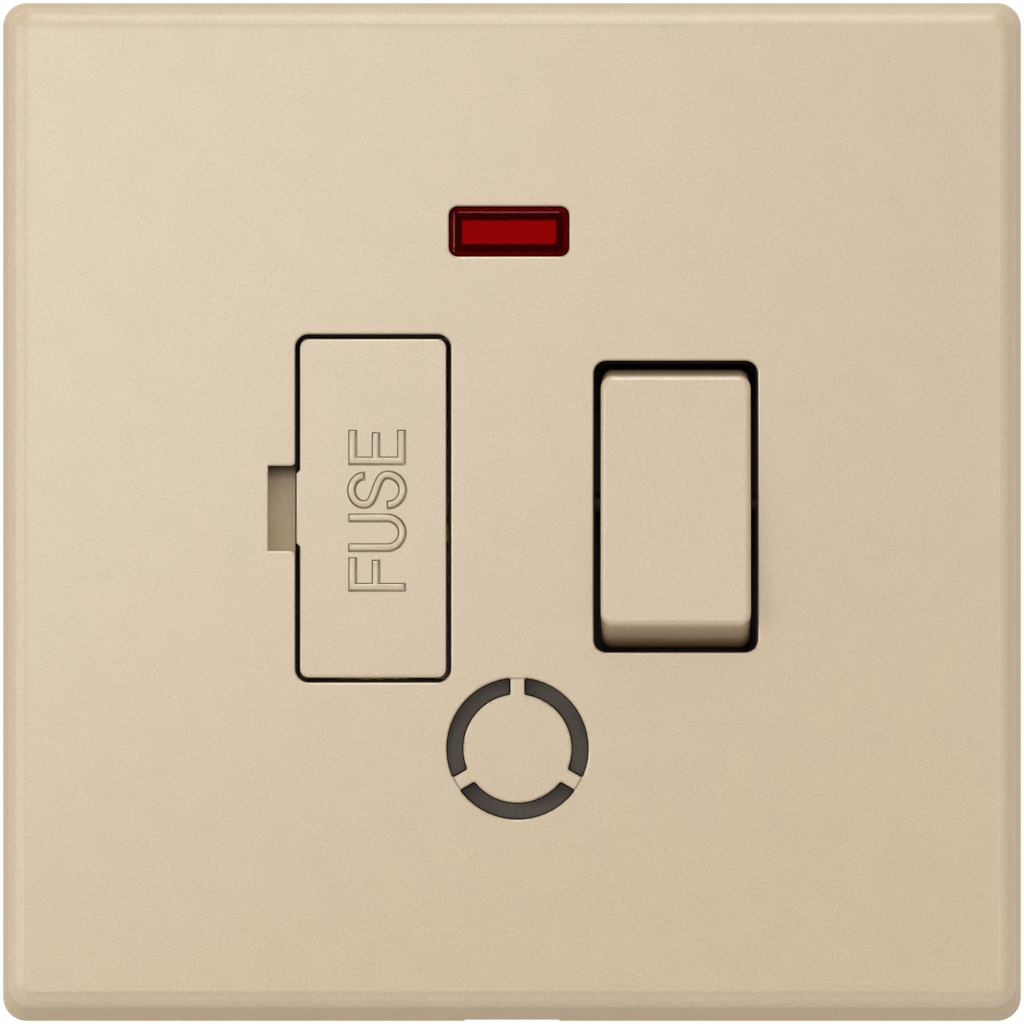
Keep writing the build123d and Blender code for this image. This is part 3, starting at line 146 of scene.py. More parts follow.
class Look:
    """One procedural material. Its textures lie in the part's own metres, so they move with each piece."""

    def __init__(self, name, roughness, metallic=0.0, **sockets):
        self.material = bpy.data.materials.new(name)
        self.material.use_nodes = True
        self.tree = self.material.node_tree
        self.shader = self.tree.nodes["Principled BSDF"]
        self.shader.inputs["Roughness"].default_value = roughness
        self.shader.inputs["Metallic"].default_value = metallic
        for socket, value in sockets.items():
            self.shader.inputs[socket.replace("_", " ")].default_value = value
        self.place = self.tree.nodes.new("ShaderNodeTexCoord").outputs["Object"]
        self.normal = None

    def link(self, source, target):
        self.tree.links.new(source, target)

    def mapped(self, scale=(1, 1, 1)):
        """Texture place, stretched along the axes."""
        node = self.tree.nodes.new("ShaderNodeMapping")
        node.inputs["Scale"].default_value = scale
        self.link(self.place, node.inputs["Vector"])
        return node.outputs["Vector"]

    def noise(self, size, detail=2.0, rough=0.5, stretch=(1, 1, 1)):
        """Soft random field whose blobs are about size metres across."""
        node = self.tree.nodes.new("ShaderNodeTexNoise")
        node.inputs["Scale"].default_value = 1 / size
        node.inputs["Detail"].default_value = detail
        node.inputs["Roughness"].default_value = rough
        self.link(self.mapped(stretch), node.inputs["Vector"])
        return node.outputs["Fac"]

    def cells(self, size):
        """Random flat cells of about size metres."""
        node = self.tree.nodes.new("ShaderNodeTexVoronoi")
        node.inputs["Scale"].default_value = 1 / size
        self.link(self.place, node.inputs["Vector"])
        return node.outputs["Distance"]

    def ramp(self, field, *stops):
        """Colours along a field, as (place, colour) pairs."""
        node = self.tree.nodes.new("ShaderNodeValToRGB")
        elements = node.color_ramp.elements
        while len(elements) < len(stops):
            elements.new(0.5)
        for element, (place, colour) in zip(elements, stops):
            element.position = place
            element.color = (*colour, 1)
        self.link(field, node.inputs["Fac"])
        return node.outputs["Color"]

    def blend(self, mode, fac, first, second):
        """Two colour fields put together."""
        node = self.tree.nodes.new("ShaderNodeMixRGB")
        node.blend_type = mode
        node.inputs["Fac"].default_value = fac
        self.link(first, node.inputs["Color1"])
        self.link(second, node.inputs["Color2"])
        return node.outputs["Color"]

    def spread(self, field, start, end, low=0.0, high=1.0):
        """A field's values from start to end brought to a range from low to high."""
        node = self.tree.nodes.new("ShaderNodeMapRange")
        for socket, value in (("From Min", start), ("From Max", end), ("To Min", low), ("To Max", high)):
            node.inputs[socket].default_value = value
        self.link(field, node.inputs["Value"])
        return node.outputs["Result"]

    def maths(self, operation, *terms):
        """A sum on fields and numbers."""
        node = self.tree.nodes.new("ShaderNodeMath")
        node.operation = operation
        for socket, term in zip(node.inputs, terms):
            if isinstance(term, (int, float)):
                socket.default_value = term
            else:
                self.link(term, socket)
        return node.outputs[0]

    def axes(self, centre=(0, 0, 0), lean=0.0):
        """Place across, in depth and in height from a centre, in a frame that leans back by an angle."""
        moved = self.tree.nodes.new("ShaderNodeMapping")
        moved.inputs["Location"].default_value = [-value for value in centre]
        self.link(self.place, moved.inputs["Vector"])
        turned = self.tree.nodes.new("ShaderNodeMapping")
        turned.inputs["Rotation"].default_value = (lean, 0, 0)
        self.link(moved.outputs["Vector"], turned.inputs["Vector"])
        split = self.tree.nodes.new("ShaderNodeSeparateXYZ")
        self.link(turned.outputs["Vector"], split.inputs["Vector"])
        return split.outputs

    def zone(self, centre, half_width, half_height):
        """1 inside an upright box round a centre, and 0 outside it."""
        across, _, height = self.axes(centre)
        wide = self.maths("LESS_THAN", self.maths("ABSOLUTE", across), half_width)
        high = self.maths("LESS_THAN", self.maths("ABSOLUTE", height), half_height)
        return self.maths("MULTIPLY", wide, high)

    def colour(self, source):
        self.link(source, self.shader.inputs["Base Color"])

    def roughen(self, field, low, high):
        self.link(self.spread(field, *NOISE_SPAN, low, high), self.shader.inputs["Roughness"])

    def bump(self, field, height, strength=1.0):
        """Relief of that height in metres, on top of any before it."""
        node = self.tree.nodes.new("ShaderNodeBump")
        node.inputs["Strength"].default_value = strength
        node.inputs["Distance"].default_value = height
        self.link(field, node.inputs["Height"])
        if self.normal is not None:
            self.link(self.normal, node.inputs["Normal"])
        self.normal = node.outputs["Normal"]
        self.link(self.normal, self.shader.inputs["Normal"])


def shade(colour, factor):
    """A colour made darker or lighter."""
    return tuple(channel * factor for channel in colour)


# Front paint: depths from the plate's face, and places on it
BEIGE = (0.602, 0.472, 0.308)
# Colour of the bare dark core, also the colour of the painted shade
BARE_CORE_AND_SHADE = (0.04, 0.028, 0.02)
COAT_INSIDE = 0.03
COAT_ROUGHNESS = (0.20, 0.36)
ROCKER_COAT_ROUGHNESS = 0.28
PAINT_INSIDE = 40 * MM
# Depths over which the paint thins to its core inside the openings, which also paints shade on the notch's
# floor
PAINT_FADE_AND_SHADE = (2.07 * MM, 2.9 * MM)
VARNISH_FADE = (0.55 * MM, 1.25 * MM)
EDGE_START = (40.6 * MM, 41.4 * MM)
ROCKER_LEAN = math.radians(6)
ROCKER_FACE_Y = -7.85 * MM
ROCKER_SKIRT = 5.0 * MM
ROCKER_HALF = (6.82 * MM, 12.1 * MM)
NOTCH_CENTRE = (-19.4 * MM, 0, 0.31 * MM)
NOTCH_HALF = (1.3 * MM, 3.7 * MM)
NOTCH_MOUTH = (0.2 * MM, 0.6 * MM)
# Painted shadow at the notch's upper end: heights from the notch's middle where it starts and where it is
# darkest
NOTCH_SHADOW_SPAN = (2.2 * MM, 3.6 * MM)


def thin_paint_and_shade(look, depth, reach):
    """How bare or shaded the paint is. It thins to its dark core far inside the openings, which also paints
    shade on the notch's floor, and a painted shadow darkens the notch's upper end.
    """
    inside = look.maths("LESS_THAN", reach, PAINT_INSIDE)
    # Paint thinning to the dark core with depth, partly painted shade on the notch's floor and in the
    # openings
    deep = look.maths("MULTIPLY", look.spread(depth, *PAINT_FADE_AND_SHADE), inside)
    notch = look.maths("MULTIPLY", look.zone(NOTCH_CENTRE, *NOTCH_HALF), look.spread(depth, *NOTCH_MOUTH))
    # Painted shadow, darker towards the notch's upper end
    notch_shadow = look.maths("MULTIPLY", look.spread(look.axes(NOTCH_CENTRE)[2], *NOTCH_SHADOW_SPAN), notch)
    return look.maths("MAXIMUM", deep, notch_shadow)


def rocker_middle():
    low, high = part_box("rocker")
    return (low + high) / 2


def skirt_shade(look):
    """Painted shade on the rocker's skirt, also its dark moulded core: from its paint at the face to nearly
    black at its foot. White elsewhere.
    """
    middle = rocker_middle()
    below = look.axes((middle.x, ROCKER_FACE_Y, middle.z), ROCKER_LEAN)[1]
    down = look.spread(below, 0.0, ROCKER_SKIRT)
    skirt = look.maths("MULTIPLY", down, look.zone(middle, *ROCKER_HALF))
    return look.ramp(
        skirt,
        (0.08, WHITE),
        (0.20, (0.78, 0.76, 0.74)),
        (0.55, (0.66, 0.63, 0.60)),
        (0.85, (0.34, 0.30, 0.27)),
        (1.00, (0.05, 0.04, 0.03)),
    )


def front_paint():
    """Satin beige with a fine grain and faint clouds, thin in the openings and dull on the plate's walls,
    with painted shade deep in the openings, on the notch's floor and at its upper end, and on the rocker's
    skirt.
    """
    look = Look("front_paint", 0.55, Specular_IOR_Level=0.05, Coat_IOR=1.8)
    grain = look.noise(0.24 * MM, detail=3, rough=0.6)
    cloud = look.noise(3.5 * MM, detail=2)
    fine = look.ramp(grain, (0.25, shade(BEIGE, 0.91)), (0.75, shade(BEIGE, 1.09)))
    soft = look.ramp(cloud, (0.3, (0.97, 0.97, 0.97)), (0.7, WHITE))
    across, depth, height = look.axes((0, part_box("cover_plate")[0].y, 0))
    reach = look.maths("MAXIMUM", look.maths("ABSOLUTE", across), look.maths("ABSOLUTE", height))
    # Paint over its dark core, with painted shade deep in the openings and in the notch
    coverage_and_shade = look.ramp(thin_paint_and_shade(look, depth, reach), (0.0, WHITE), (1.0, BARE_CORE_AND_SHADE))
    paint = look.blend("MULTIPLY", 1.0, look.blend("MULTIPLY", 1.0, fine, soft), coverage_and_shade)
    look.colour(look.blend("MULTIPLY", 1.0, paint, skirt_shade(look)))
    look.link(look.spread(depth, *VARNISH_FADE, 1.0, COAT_INSIDE), look.shader.inputs["Coat Weight"])
    dull = look.spread(reach, *EDGE_START, *COAT_ROUGHNESS)
    rubbed = look.maths("MULTIPLY", look.zone(rocker_middle(), *ROCKER_HALF), ROCKER_COAT_ROUGHNESS)
    look.link(look.maths("MAXIMUM", dull, rubbed), look.shader.inputs["Coat Roughness"])
    look.roughen(grain, 0.50, 0.60)
    look.bump(grain, 0.004 * MM)
    return look.material


def moulded_plastic(name, colour, roughness, shine, grain_height):
    """Moulded plastic with a spark-eroded texture, flow clouding and uneven gloss."""
    look = Look(name, roughness, Specular_IOR_Level=shine)
    grain = look.noise(0.35 * MM, detail=4, rough=0.6)
    flow = look.noise(6.0 * MM, detail=3, stretch=(1, 1, 0.4))
    fine = look.ramp(grain, (0.3, shade(colour, 0.92)), (0.7, shade(colour, 1.06)))
    soft = look.ramp(flow, (0.35, (0.93, 0.93, 0.93)), (0.65, WHITE))
    look.colour(look.blend("MULTIPLY", 1.0, fine, soft))
    look.roughen(flow, roughness - 0.07, roughness + 0.07)
    look.bump(grain, grain_height)
    return look.material


def frame_plastic():
    return moulded_plastic(
        "frame_plastic", (0.026, 0.016, 0.013), roughness=0.5, shine=0.15, grain_height=0.012 * MM
    )


def housing_plastic():
    return moulded_plastic(
        "housing_plastic", (0.66, 0.62, 0.54), roughness=0.42, shine=0.45, grain_height=0.010 * MM
    )


def plunger_nylon():
    """Natural nylon, a little see-through."""
    look = Look("plunger_nylon", 0.4, Subsurface_Weight=0.25, Subsurface_Scale=0.5 * MM)
    cloud = look.noise(0.9 * MM, detail=2)
    look.colour(look.ramp(cloud, (0.3, (0.72, 0.69, 0.60)), (0.7, (0.80, 0.78, 0.70))))
    look.bump(look.noise(0.12 * MM), 0.004 * MM)
    return look.material


def drawn_metal(name, dark, light, roughness, stretch, stain):
    """Rolled or turned metal with drawn lines, small pits and a slight tarnish."""
    look = Look(name, roughness, metallic=1.0)
    lines = look.noise(0.25 * MM, detail=4, rough=0.65, stretch=stretch)
    tarnish = look.noise(2.2 * MM, detail=4, rough=0.6)
    base = look.ramp(lines, (0.3, dark), (0.7, light))
    film = look.ramp(tarnish, (0.38, stain), (0.62, WHITE))
    look.colour(look.blend("MULTIPLY", 1.0, base, film))
    look.roughen(tarnish, roughness + 0.10, roughness - 0.06)
    look.bump(lines, 0.006 * MM)
    look.bump(look.cells(0.5 * MM), 0.002 * MM)
    return look.material


def contact_brass():
    return drawn_metal(
        "contact_brass",
        dark=(0.70, 0.50, 0.20),
        light=(0.83, 0.63, 0.30),
        roughness=0.28,
        stretch=(1, 1, 0.15),
        stain=(0.86, 0.80, 0.70),
    )


def contact_silver():
    return drawn_metal(
        "contact_silver",
        dark=(0.82, 0.81, 0.78),
        light=(0.93, 0.92, 0.90),
        roughness=0.22,
        stretch=(1, 1, 1),
        stain=(0.90, 0.88, 0.84),
    )


def screw_steel():
    return drawn_metal(
        "screw_steel",
        dark=(0.60, 0.60, 0.58),
        light=(0.76, 0.76, 0.74),
        roughness=0.30,
        stretch=(1, 0.1, 1),
        stain=(0.93, 0.90, 0.80),
    )


def spring_steel():
    return drawn_metal(
        "spring_steel",
        dark=(0.52, 0.52, 0.53),
        light=(0.68, 0.68, 0.69),
        roughness=0.26,
        stretch=(1, 1, 1),
        stain=(0.90, 0.88, 0.86),
    )


def fuse_cap_plating():
    return drawn_metal(
        "fuse_cap_plating",
        dark=(0.66, 0.64, 0.60),
        light=(0.80, 0.78, 0.74),
        roughness=0.20,
        stretch=(1, 1, 0.1),
        stain=(0.92, 0.90, 0.86),
    )


def fuse_ceramic():
    """Unglazed white ceramic with small specks."""
    look = Look("fuse_ceramic", 0.55, Specular_IOR_Level=0.4)
    specks = look.noise(0.18 * MM, detail=5, rough=0.7)
    white = look.ramp(
        specks,
        (0.28, (0.62, 0.60, 0.56)),
        (0.40, (0.84, 0.83, 0.80)),
        (0.75, (0.88, 0.87, 0.85)),
    )
    look.colour(white)
    look.bump(specks, 0.008 * MM)
    return look.material


# Neon lens: half width and height of its flat, how far that lies below the middle, and the bevel round it
LENS_FLAT = (3.90 * MM, 0.95 * MM)
LENS_DROP = 0.08 * MM
LENS_BEVEL = 1.0 * MM

# Fine line of shine on the bevel, from its start to its end as shares of the bevel
LINE_AT = (0.68, 0.71, 0.76, 0.79)
SIDE_SHINE = 0.35
TOP_SHINE = 0.06


def edge_line(look, field, shine):
    """A fine line of that shine along the edge of the raised face."""
    levels = (0.0, shine, shine, 0.0)
    return look.ramp(field, *[(place, (level, level, level)) for place, level in zip(LINE_AT, levels)])


def lens_colour(look, beyond, speck):
    """Red on the flat, and painted shade on the bevel round it: nearly black and mottled."""
    red_and_bevel_shade = look.ramp(
        beyond,
        (0.00, (0.275, 0.0012, 0.0014)),
        (0.07, (0.080, 0.0016, 0.0014)),
        (0.30, (0.050, 0.0016, 0.0014)),
        (0.60, (0.060, 0.0016, 0.0014)),
        (0.80, (0.230, 0.0016, 0.0014)),
        (1.00, (0.330, 0.0020, 0.0016)),
    )
    # Mottled painted shade on the bevel; the flat stays even
    dark = look.ramp(speck, (0.42, (0.20, 0.20, 0.20)), (0.58, WHITE))
    even = look.ramp(beyond, (0.02, WHITE), (0.10, (0.0, 0.0, 0.0)))
    return look.blend("MULTIPLY", 1.0, red_and_bevel_shade, look.blend("LIGHTEN", 1.0, dark, even))


def lens_shine(look, across, height, side, end):
    """Lines along the left and upper edges of the raised face."""
    on_left = look.maths("LESS_THAN", across, 0)
    on_top = look.maths("GREATER_THAN", height, 0)
    left = look.maths("MULTIPLY", on_left, look.maths("LESS_THAN", end, LINE_AT[1]))
    top = look.maths("MULTIPLY", on_top, look.maths("LESS_THAN", side, LINE_AT[2]))
    side_line = look.maths("MULTIPLY", edge_line(look, side, SIDE_SHINE), left)
    top_line = look.maths("MULTIPLY", edge_line(look, end, TOP_SHINE), top)
    return look.maths("MAXIMUM", side_line, top_line)


def lens_red():
    """Deep red window with painted shade on its bevel and a fine bright edge."""
    look = Look("lens_red", 0.08)
    low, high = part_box("neon_lens")
    across, _, height = look.axes((low + high) / 2 - Vector((0, 0, LENS_DROP)))
    past_side = look.maths("SUBTRACT", look.maths("ABSOLUTE", across), LENS_FLAT[0])
    past_end = look.maths("SUBTRACT", look.maths("ABSOLUTE", height), LENS_FLAT[1])
    side = look.spread(past_side, 0.0, LENS_BEVEL)
    end = look.spread(past_end, 0.0, LENS_BEVEL)
    speck = look.noise(0.10 * MM, detail=2, rough=0.6)
    look.colour(lens_colour(look, look.maths("MAXIMUM", side, end), speck))
    look.link(lens_shine(look, across, height, side, end), look.shader.inputs["Specular IOR Level"])
    look.bump(speck, 0.0005 * MM)
    return look.material


def lamp_glass():
    """Clear soda glass with faint drawn streaks."""
    look = Look("lamp_glass", 0.04, Transmission_Weight=1.0, IOR=1.5)
    streaks = look.noise(0.5 * MM, detail=2, stretch=(0.1, 1, 1))
    look.colour(look.ramp(streaks, (0.3, (0.93, 0.95, 0.95)), (0.7, (0.98, 0.99, 0.99))))
    look.bump(streaks, 0.003 * MM)
    return look.material


def lead_sleeve():
    """Woven white sleeving."""
    look = Look("lead_sleeve", 0.62, Specular_IOR_Level=0.3, Sheen_Weight=0.1)
    weave = look.cells(0.16 * MM)
    look.colour(look.ramp(weave, (0.1, (0.74, 0.73, 0.70)), (0.8, (0.56, 0.55, 0.52))))
    look.bump(weave, 0.02 * MM)
    return look.material


def resistor_coat():
    """Tan lacquer with the usual colour bands."""
    look = Look("resistor_coat", 0.32, Specular_IOR_Level=0.5)
    low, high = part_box("ballast_resistor")
    along = look.spread(look.axes()[2], low.z, high.z)
    tan = (0.52, 0.36, 0.20)
    bands = look.ramp(
        along,
        (0.00, tan),
        (0.14, (0.45, 0.33, 0.05)),
        (0.24, tan),
        (0.40, (0.55, 0.42, 0.03)),
        (0.48, tan),
        (0.58, (0.22, 0.03, 0.20)),
        (0.66, tan),
        (0.76, (0.09, 0.05, 0.03)),
        (0.84, tan),
    )
    bands.node.color_ramp.interpolation = "CONSTANT"
    lacquer = look.noise(0.4 * MM, detail=3)
    soft = look.ramp(lacquer, (0.3, (0.90, 0.90, 0.90)), (0.7, WHITE))
    look.colour(look.blend("MULTIPLY", 1.0, bands, soft))
    look.bump(lacquer, 0.01 * MM)
    return look.material


# Open arcs before the grommet: middle radius, half width, half a bridge's width and a sixth of a turn
ARC_MIDDLE = 5.285 * MM
ARC_HALF = 0.715 * MM
ARC_END = 0.62 * MM
ARC_GAP = math.pi / 3
# Painted shadow along the open arcs' edges: darkest up to the first distance in from an edge, gone by the
# second
ARC_EDGE_SHADOW_SPAN = (0.07 * MM, 0.13 * MM)


def arc_inset(look, centre):
    """How far a place lies inside the nearest of the three open arcs round a centre."""
    across, _, height = look.axes(centre)
    squares = [look.maths("MULTIPLY", length, length) for length in (across, height)]
    radius = look.maths("SQRT", look.maths("ADD", *squares))
    off = look.maths("ABSOLUTE", look.maths("SUBTRACT", radius, ARC_MIDDLE))
    turn = look.maths("PINGPONG", look.maths("ARCTAN2", across, height), ARC_GAP)
    end = look.maths("SUBTRACT", look.maths("MULTIPLY", radius, look.maths("SINE", turn)), ARC_END)
    return look.maths("MINIMUM", look.maths("SUBTRACT", ARC_HALF, off), end)


def grommet_rubber():
    """Matt grey rubber with a bloom, and painted shadow along the edges of the openings before it."""
    look = Look("grommet_rubber", 0.8, Specular_IOR_Level=0.2)
    bloom = look.noise(0.25 * MM, detail=4, rough=0.6)
    rubber = look.ramp(bloom, (0.3, (0.143, 0.127, 0.111)), (0.7, (0.167, 0.148, 0.129)))
    low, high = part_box("flex_grommet")
    inset = look.spread(arc_inset(look, (low + high) / 2), *ARC_EDGE_SHADOW_SPAN)
    arc_edge_shadow = look.ramp(inset, (0.0, (0.04, 0.03, 0.025)), (1.0, WHITE))
    look.colour(look.blend("MULTIPLY", 1.0, rubber, arc_edge_shadow))
    look.bump(look.noise(0.2 * MM, detail=3), 0.012 * MM)
    return look.material


MATERIALS = {
    "front_paint": front_paint,
    "frame_plastic": frame_plastic,
    "housing_plastic": housing_plastic,
    "screw_steel": screw_steel,
    "spring_steel": spring_steel,
    "contact_silver": contact_silver,
    "plunger_nylon": plunger_nylon,
    "fuse_ceramic": fuse_ceramic,
    "fuse_cap_plating": fuse_cap_plating,
    "lens_red": lens_red,
    "lamp_glass": lamp_glass,
    "lead_sleeve": lead_sleeve,
    "resistor_coat": resistor_coat,
    "grommet_rubber": grommet_rubber,
    "contact_brass": contact_brass,
}


def dress_nodes():
    """Gives every CAD node the procedural material of its slot, and returns those materials by slot."""
    made = {slot: make() for slot, make in MATERIALS.items()}
    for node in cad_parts.values():
        for index, old in enumerate(node.data.materials):
            node.data.materials[index] = made[old.name]
    return made


def letter_f():
    """Outline of an F from its lower left corner."""
    return [
        (0, 0),
        (STROKE, 0),
        (STROKE, ARM_LOW),
        (F_WIDTH - ARM_SHORT, ARM_LOW),
        (F_WIDTH - ARM_SHORT, ARM_HIGH),
        (STROKE, ARM_HIGH),
        (STROKE, CAP_HEIGHT - STROKE),
        (F_WIDTH, CAP_HEIGHT - STROKE),
        (F_WIDTH, CAP_HEIGHT),
        (0, CAP_HEIGHT),
    ]


def letter_e():
    """Outline of an E from its lower left corner."""
    return [
        (0, 0),
        (E_WIDTH, 0),
        (E_WIDTH, STROKE),
        (STROKE, STROKE),
        (STROKE, ARM_LOW),
        (E_WIDTH - ARM_SHORT, ARM_LOW),
        (E_WIDTH - ARM_SHORT, ARM_HIGH),
        (STROKE, ARM_HIGH),
        (STROKE, CAP_HEIGHT - STROKE),
        (E_WIDTH, CAP_HEIGHT - STROKE),
        (E_WIDTH, CAP_HEIGHT),
        (0, CAP_HEIGHT),
    ]


def arc(centre, radii, start, end):
    """Points on an ellipse from one angle to another, in degrees."""
    points = []
    for step in range(ARC_STEPS + 1):
        angle = math.radians(start + (end - start) * step / ARC_STEPS)
        points.append((centre[0] + radii[0] * math.cos(angle), centre[1] + radii[1] * math.sin(angle)))
    return points


def letter_u():
    """Outline of a U, two uprights on a half round."""
    outer = U_WIDTH / 2
    inner = outer - STROKE
    centre = (outer, outer - U_DROP)
    return [
        (0, CAP_HEIGHT),
        *arc(centre, (outer, outer), 180, 360),
        (U_WIDTH, CAP_HEIGHT),
        (U_WIDTH - STROKE, CAP_HEIGHT),
        *arc(centre, (inner, inner), 360, 180),
        (STROKE, CAP_HEIGHT),
    ]


def bezier(start, first, second, end):
    """Points on a cubic curve, without its two ends."""
    points = []
    for step in range(1, ARC_STEPS):
        t = step / ARC_STEPS
        weights = ((1 - t) ** 3, 3 * t * (1 - t) ** 2, 3 * t * t * (1 - t), t ** 3)
        corners = (start, first, second, end)
        points.append(tuple(sum(w * c[i] for w, c in zip(weights, corners)) for i in range(2)))
    return points


def letter_s():
    """Outline of an S: a stroke of even width along two bowls and the slope between them."""
    top = arc(S_TOP_CENTRE, S_TOP_RADII, *S_TOP_ENDS)
    low = arc(S_LOW_CENTRE, S_LOW_RADII, *S_LOW_ENDS)
    leaving = (Vector(top[-1]) - Vector(top[-2])).normalized()
    arriving = (Vector(low[1]) - Vector(low[0])).normalized()
    slope = bezier(top[-1], Vector(top[-1]) + leaving * S_PULL, Vector(low[0]) - arriving * S_PULL, low[0])
    line = top + slope + low
    return offset_line(line, -STROKE / 2) + offset_line(line, STROKE / 2)[::-1]


def offset_line(line, distance):
    """An open line moved sideways."""
    moved = []
    for index, point in enumerate(line):
        before = Vector(line[max(index - 1, 0)])
        after = Vector(line[min(index + 1, len(line) - 1)])
        along = (after - before).normalized()
        moved.append((point[0] - along.y * distance, point[1] + along.x * distance))
    return moved


def offset_loop(loop, distance):
    """A closed outline moved sideways, with mitred corners."""
    moved = []
    for index, point in enumerate(loop):
        here = Vector(point)
        into = (here - Vector(loop[index - 1])).normalized()
        out = (Vector(loop[(index + 1) % len(loop)]) - here).normalized()
        side = Vector((-into.y - out.y, into.x + out.x)).normalized()
        reach = distance / max(side.dot(Vector((-out.y, out.x))), MITRE_LIMIT)
        moved.append(here + side * reach)
    return moved


LETTERS = {"F": letter_f, "U": letter_u, "S": letter_s, "E": letter_e}


def new_object(name, mesh):
    """A mesh as an object in the scene."""
    made = bpy.data.objects.new(name, mesh)
    bpy.context.scene.collection.objects.link(made)
    return made


def front_outline(bm, face_y):
    """Takes the flat front off a mesh and returns the vertices round the hole, in order."""
    flat = [face for face in bm.faces if all(abs(v.co.y - face_y) < WELD for v in face.verts)]
    inside = set(flat)
    rim = [edge for edge in bm.edges if sum(face in inside for face in edge.link_faces) == 1]
    bmesh.ops.delete(bm, geom=flat, context="FACES_ONLY")
    ahead = {}
    for edge in rim:
        for vert in edge.verts:
            ahead.setdefault(vert, []).append(edge.other_vert(vert))
    loop = [rim[0].verts[0], rim[0].verts[1]]
    while loop[-1] is not loop[0]:
        loop.append(next(v for v in ahead[loop[-1]] if v is not loop[-2]))
    return loop[:-1]


def fill(bm, loops):
    """Flat faces between closed rings of vertices, the first ring outside the others."""
    verts = [vert for loop in loops for vert in loop]
    for corners in tessellate_polygon([[vert.co for vert in loop] for loop in loops]):
        bm.faces.new([verts[corner] for corner in corners])


def letter_rings(bm, name, face_y):
    """One letter's stroke and the groove round it. Returns the ring where they meet the face."""
    outline = LETTERS[name]()
    rings = []
    for outwards, depth in LETTER_SECTION:
        across, up = GROOVE_DRIFT if outwards > 0 else (0, 0)
        x = BASELINE_X + across
        z = LETTER_STARTS[name] + up
        points = offset_loop(outline, -outwards)
        rings.append([bm.verts.new((x - v, face_y + depth, z + u)) for u, v in points])
    for outer, inner in zip(rings, rings[1:]):
        for index in range(len(outer)):
            bm.faces.new((outer[index - 1], outer[index], inner[index], inner[index - 1]))
    fill(bm, rings[-1:])
    return rings[0]


def lettered_carrier(paint):
    """Fuse carrier with its word moulded into the front as proud strokes in a groove."""
    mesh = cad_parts["fuse_carrier"].data.copy()
    mesh.name = "lettered_carrier"
    mesh.attributes.remove(mesh.attributes["custom_normal"])
    face_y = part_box("fuse_carrier")[0].y
    bm = bmesh.new()
    bm.from_mesh(mesh)
    bmesh.ops.remove_doubles(bm, verts=bm.verts, dist=WELD)
    outline = front_outline(bm, face_y)
    fill(bm, [outline] + [letter_rings(bm, name, face_y) for name in LETTERS])
    bmesh.ops.recalc_face_normals(bm, faces=bm.faces)
    bm.to_mesh(mesh)
    bm.free()
    mesh.materials.clear()
    mesh.materials.append(paint)
    mesh.shade_smooth()
    mesh.set_sharp_from_angle(angle=SMOOTH_ANGLE)
    carrier = new_object("lettered_carrier", mesh)
    weighted = carrier.modifiers.new("flat faces", "WEIGHTED_NORMAL")
    weighted.keep_sharp = True
    weighted.weight = FLAT_WEIGHT
    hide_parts("fuse_carrier")
    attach(carrier, "fuse_carrier")


def flexing_spring(pole, steel):
    """Plunger spring, a copy of its CAD node that is carried with the rocker."""
    node = pole + "_plunger_spring"
    spring = new_object("flexing_" + node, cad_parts[node].data.copy())
    spring.data.materials.clear()
    spring.data.materials.append(steel)
    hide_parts(node)
    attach(spring, "rocker")
    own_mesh(spring)


def path_share(tree):
    """1 for rays from the camera, a mirror or glass, and 0 for the light that falls on things."""
    path = tree.nodes.new("ShaderNodeLightPath")
    share = path.outputs["Is Camera Ray"]
    for name in ("Is Glossy Ray", "Is Transmission Ray"):
        either = tree.nodes.new("ShaderNodeMath")
        either.operation = "MAXIMUM"
        tree.links.new(share, either.inputs[0])
        tree.links.new(path.outputs[name], either.inputs[1])
        share = either.outputs[0]
    return share


def backdrop_light(tree, front, back):
    """Strength that is one value for the room before the part and another for the backdrop behind it."""
    place = tree.nodes.new("ShaderNodeTexCoord")
    split = tree.nodes.new("ShaderNodeSeparateXYZ")
    tree.links.new(place.outputs["Generated"], split.inputs["Vector"])
    spread = tree.nodes.new("ShaderNodeMapRange")
    spread.interpolation_type = "SMOOTHSTEP"
    spread.inputs["From Min"].default_value = -BACKDROP_BLEND
    spread.inputs["From Max"].default_value = BACKDROP_BLEND
    spread.inputs["To Min"].default_value = front
    spread.inputs["To Max"].default_value = back
    tree.links.new(split.outputs["Y"], spread.inputs["Value"])
    return spread.outputs["Result"]


def white_world():
    """White background, also behind mirrors and glass, with a plain ambient light for everything else."""
    world = bpy.data.worlds.new("studio")
    bpy.context.scene.world = world
    world.use_nodes = True
    tree = world.node_tree
    tree.nodes.clear()
    seen = tree.nodes.new("ShaderNodeBackground")
    seen.inputs["Color"].default_value = (*WHITE, 1)
    direct = tree.nodes.new("ShaderNodeMath")
    direct.operation = "MAXIMUM"
    tree.links.new(tree.nodes.new("ShaderNodeLightPath").outputs["Is Camera Ray"], direct.inputs[0])
    tree.links.new(backdrop_light(tree, FRONT_MIRRORED, BACK_MIRRORED), direct.inputs[1])
    tree.links.new(direct.outputs[0], seen.inputs["Strength"])
    ambient = tree.nodes.new("ShaderNodeBackground")
    ambient.inputs["Color"].default_value = (*WHITE, 1)
    tree.links.new(backdrop_light(tree, FRONT_AMBIENT, BACK_AMBIENT), ambient.inputs["Strength"])
    mix = tree.nodes.new("ShaderNodeMixShader")
    tree.links.new(path_share(tree), mix.inputs["Fac"])
    tree.links.new(ambient.outputs[0], mix.inputs[1])
    tree.links.new(seen.outputs[0], mix.inputs[2])
    out = tree.nodes.new("ShaderNodeOutputWorld")
    tree.links.new(mix.outputs[0], out.inputs["Surface"])


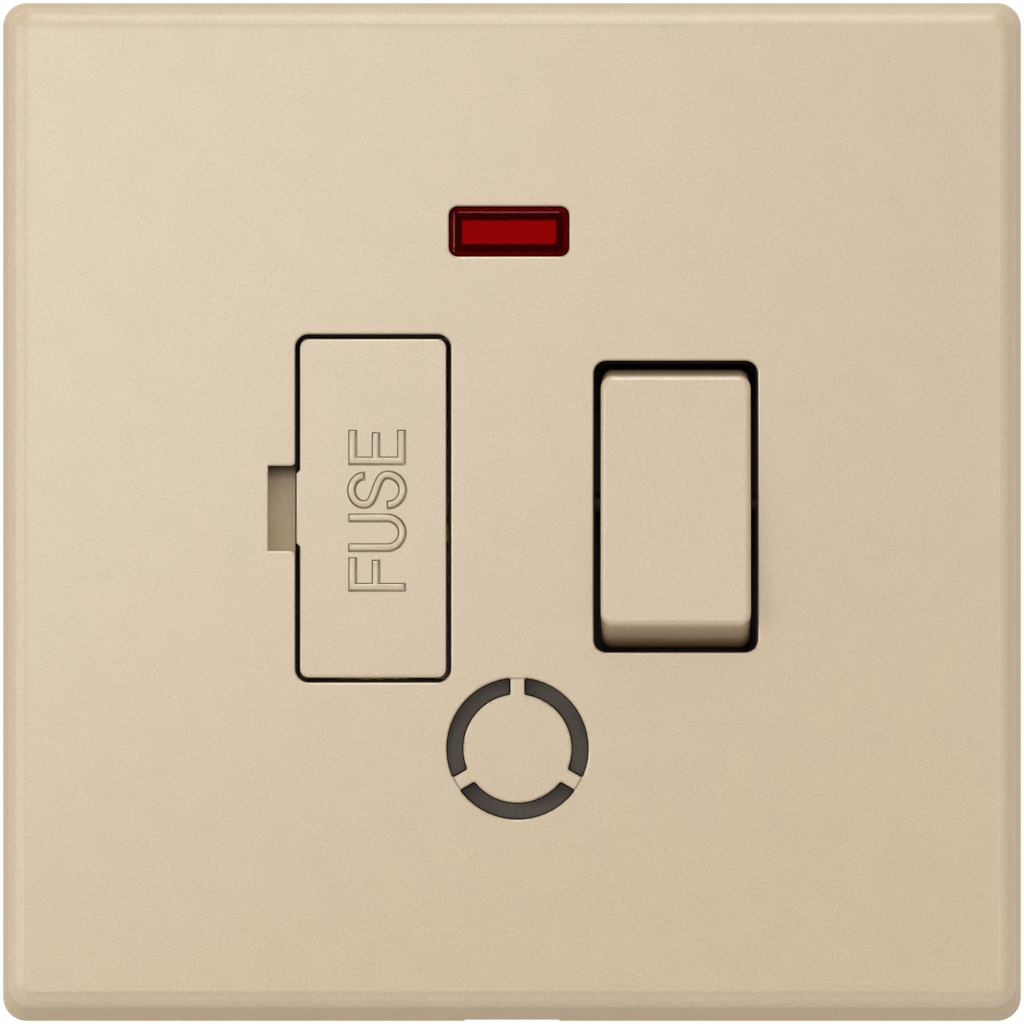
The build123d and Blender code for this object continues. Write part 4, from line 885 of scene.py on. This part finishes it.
def pale_floor():
    """Floor under the plate's lower edge, nearly white where no shadow falls."""
    z = CAD_BOX[0][2] - FLOOR_DROP
    mesh = bpy.data.meshes.new("floor")
    front = [(-FLOOR_SIDE, -FLOOR_FRONT, z), (FLOOR_SIDE, -FLOOR_FRONT, z)]
    back = [(FLOOR_SIDE, FLOOR_BACK, z), (-FLOOR_SIDE, FLOOR_BACK, z)]
    mesh.from_pydata(front + back, [], [(0, 1, 2, 3)])
    floor = new_object("floor", mesh)
    look = Look("floor", 0.9, Specular_IOR_Level=0.1)
    dust = look.noise(0.05, detail=3)
    look.colour(look.ramp(dust, (0.3, shade(FLOOR_COLOUR, 0.99)), (0.7, FLOOR_COLOUR)))
    lift = look.tree.nodes.new("ShaderNodeMath")
    lift.operation = "MULTIPLY"
    lift.inputs[1].default_value = FLOOR_LIFT
    look.link(path_share(look.tree), lift.inputs[0])
    look.shader.inputs["Emission Color"].default_value = (*WHITE, 1)
    look.link(lift.outputs[0], look.shader.inputs["Emission Strength"])
    mesh.materials.append(look.material)


def softbox(name, place, width, height, share):
    """Area light at a place in millimetres, aimed at the middle of the plate.

    Share is how much of its own colour a matt white face turned to the light would show.
    """
    data = bpy.data.lights.new(name, "AREA")
    data.shape = "RECTANGLE"
    data.size = width * MM
    data.size_y = height * MM
    light = bpy.data.objects.new(name, data)
    bpy.context.scene.collection.objects.link(light)
    light.location = Vector(place) * MM
    light.rotation_euler = light.location.to_track_quat("Z", "Y").to_euler()
    light.visible_camera = False
    data.energy = share * math.pi ** 2 * light.location.length_squared


def studio_light():
    """Long lights from the top and sides that reach in towards the camera, and a veil light near its axis."""
    for name, settings in SOFTBOXES.items():
        softbox(name, *settings)


def front_camera():
    """Camera on the plate's axis, at the distance where the field is as wide as the photograph's."""
    data = bpy.data.cameras.new("camera")
    data.sensor_width = SENSOR_WIDTH
    data.lens = FOCAL_LENGTH
    data.clip_end = CLIP_END
    camera = bpy.data.objects.new("camera", data)
    bpy.context.scene.collection.objects.link(camera)
    rim_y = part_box("cover_plate")[1].y
    camera.location = (0, rim_y - FIELD_WIDTH * FOCAL_LENGTH / SENSOR_WIDTH, 0)
    camera.rotation_euler = (math.radians(90), 0, 0)
    bpy.context.scene.camera = camera


materials = dress_nodes()
lettered_carrier(materials["front_paint"])
for pole in ("live", "neutral"):
    flexing_spring(pole, materials["spring_steel"])
white_world()
pale_floor()
studio_light()
front_camera()
bpy.context.scene.view_settings.view_transform = "Standard"
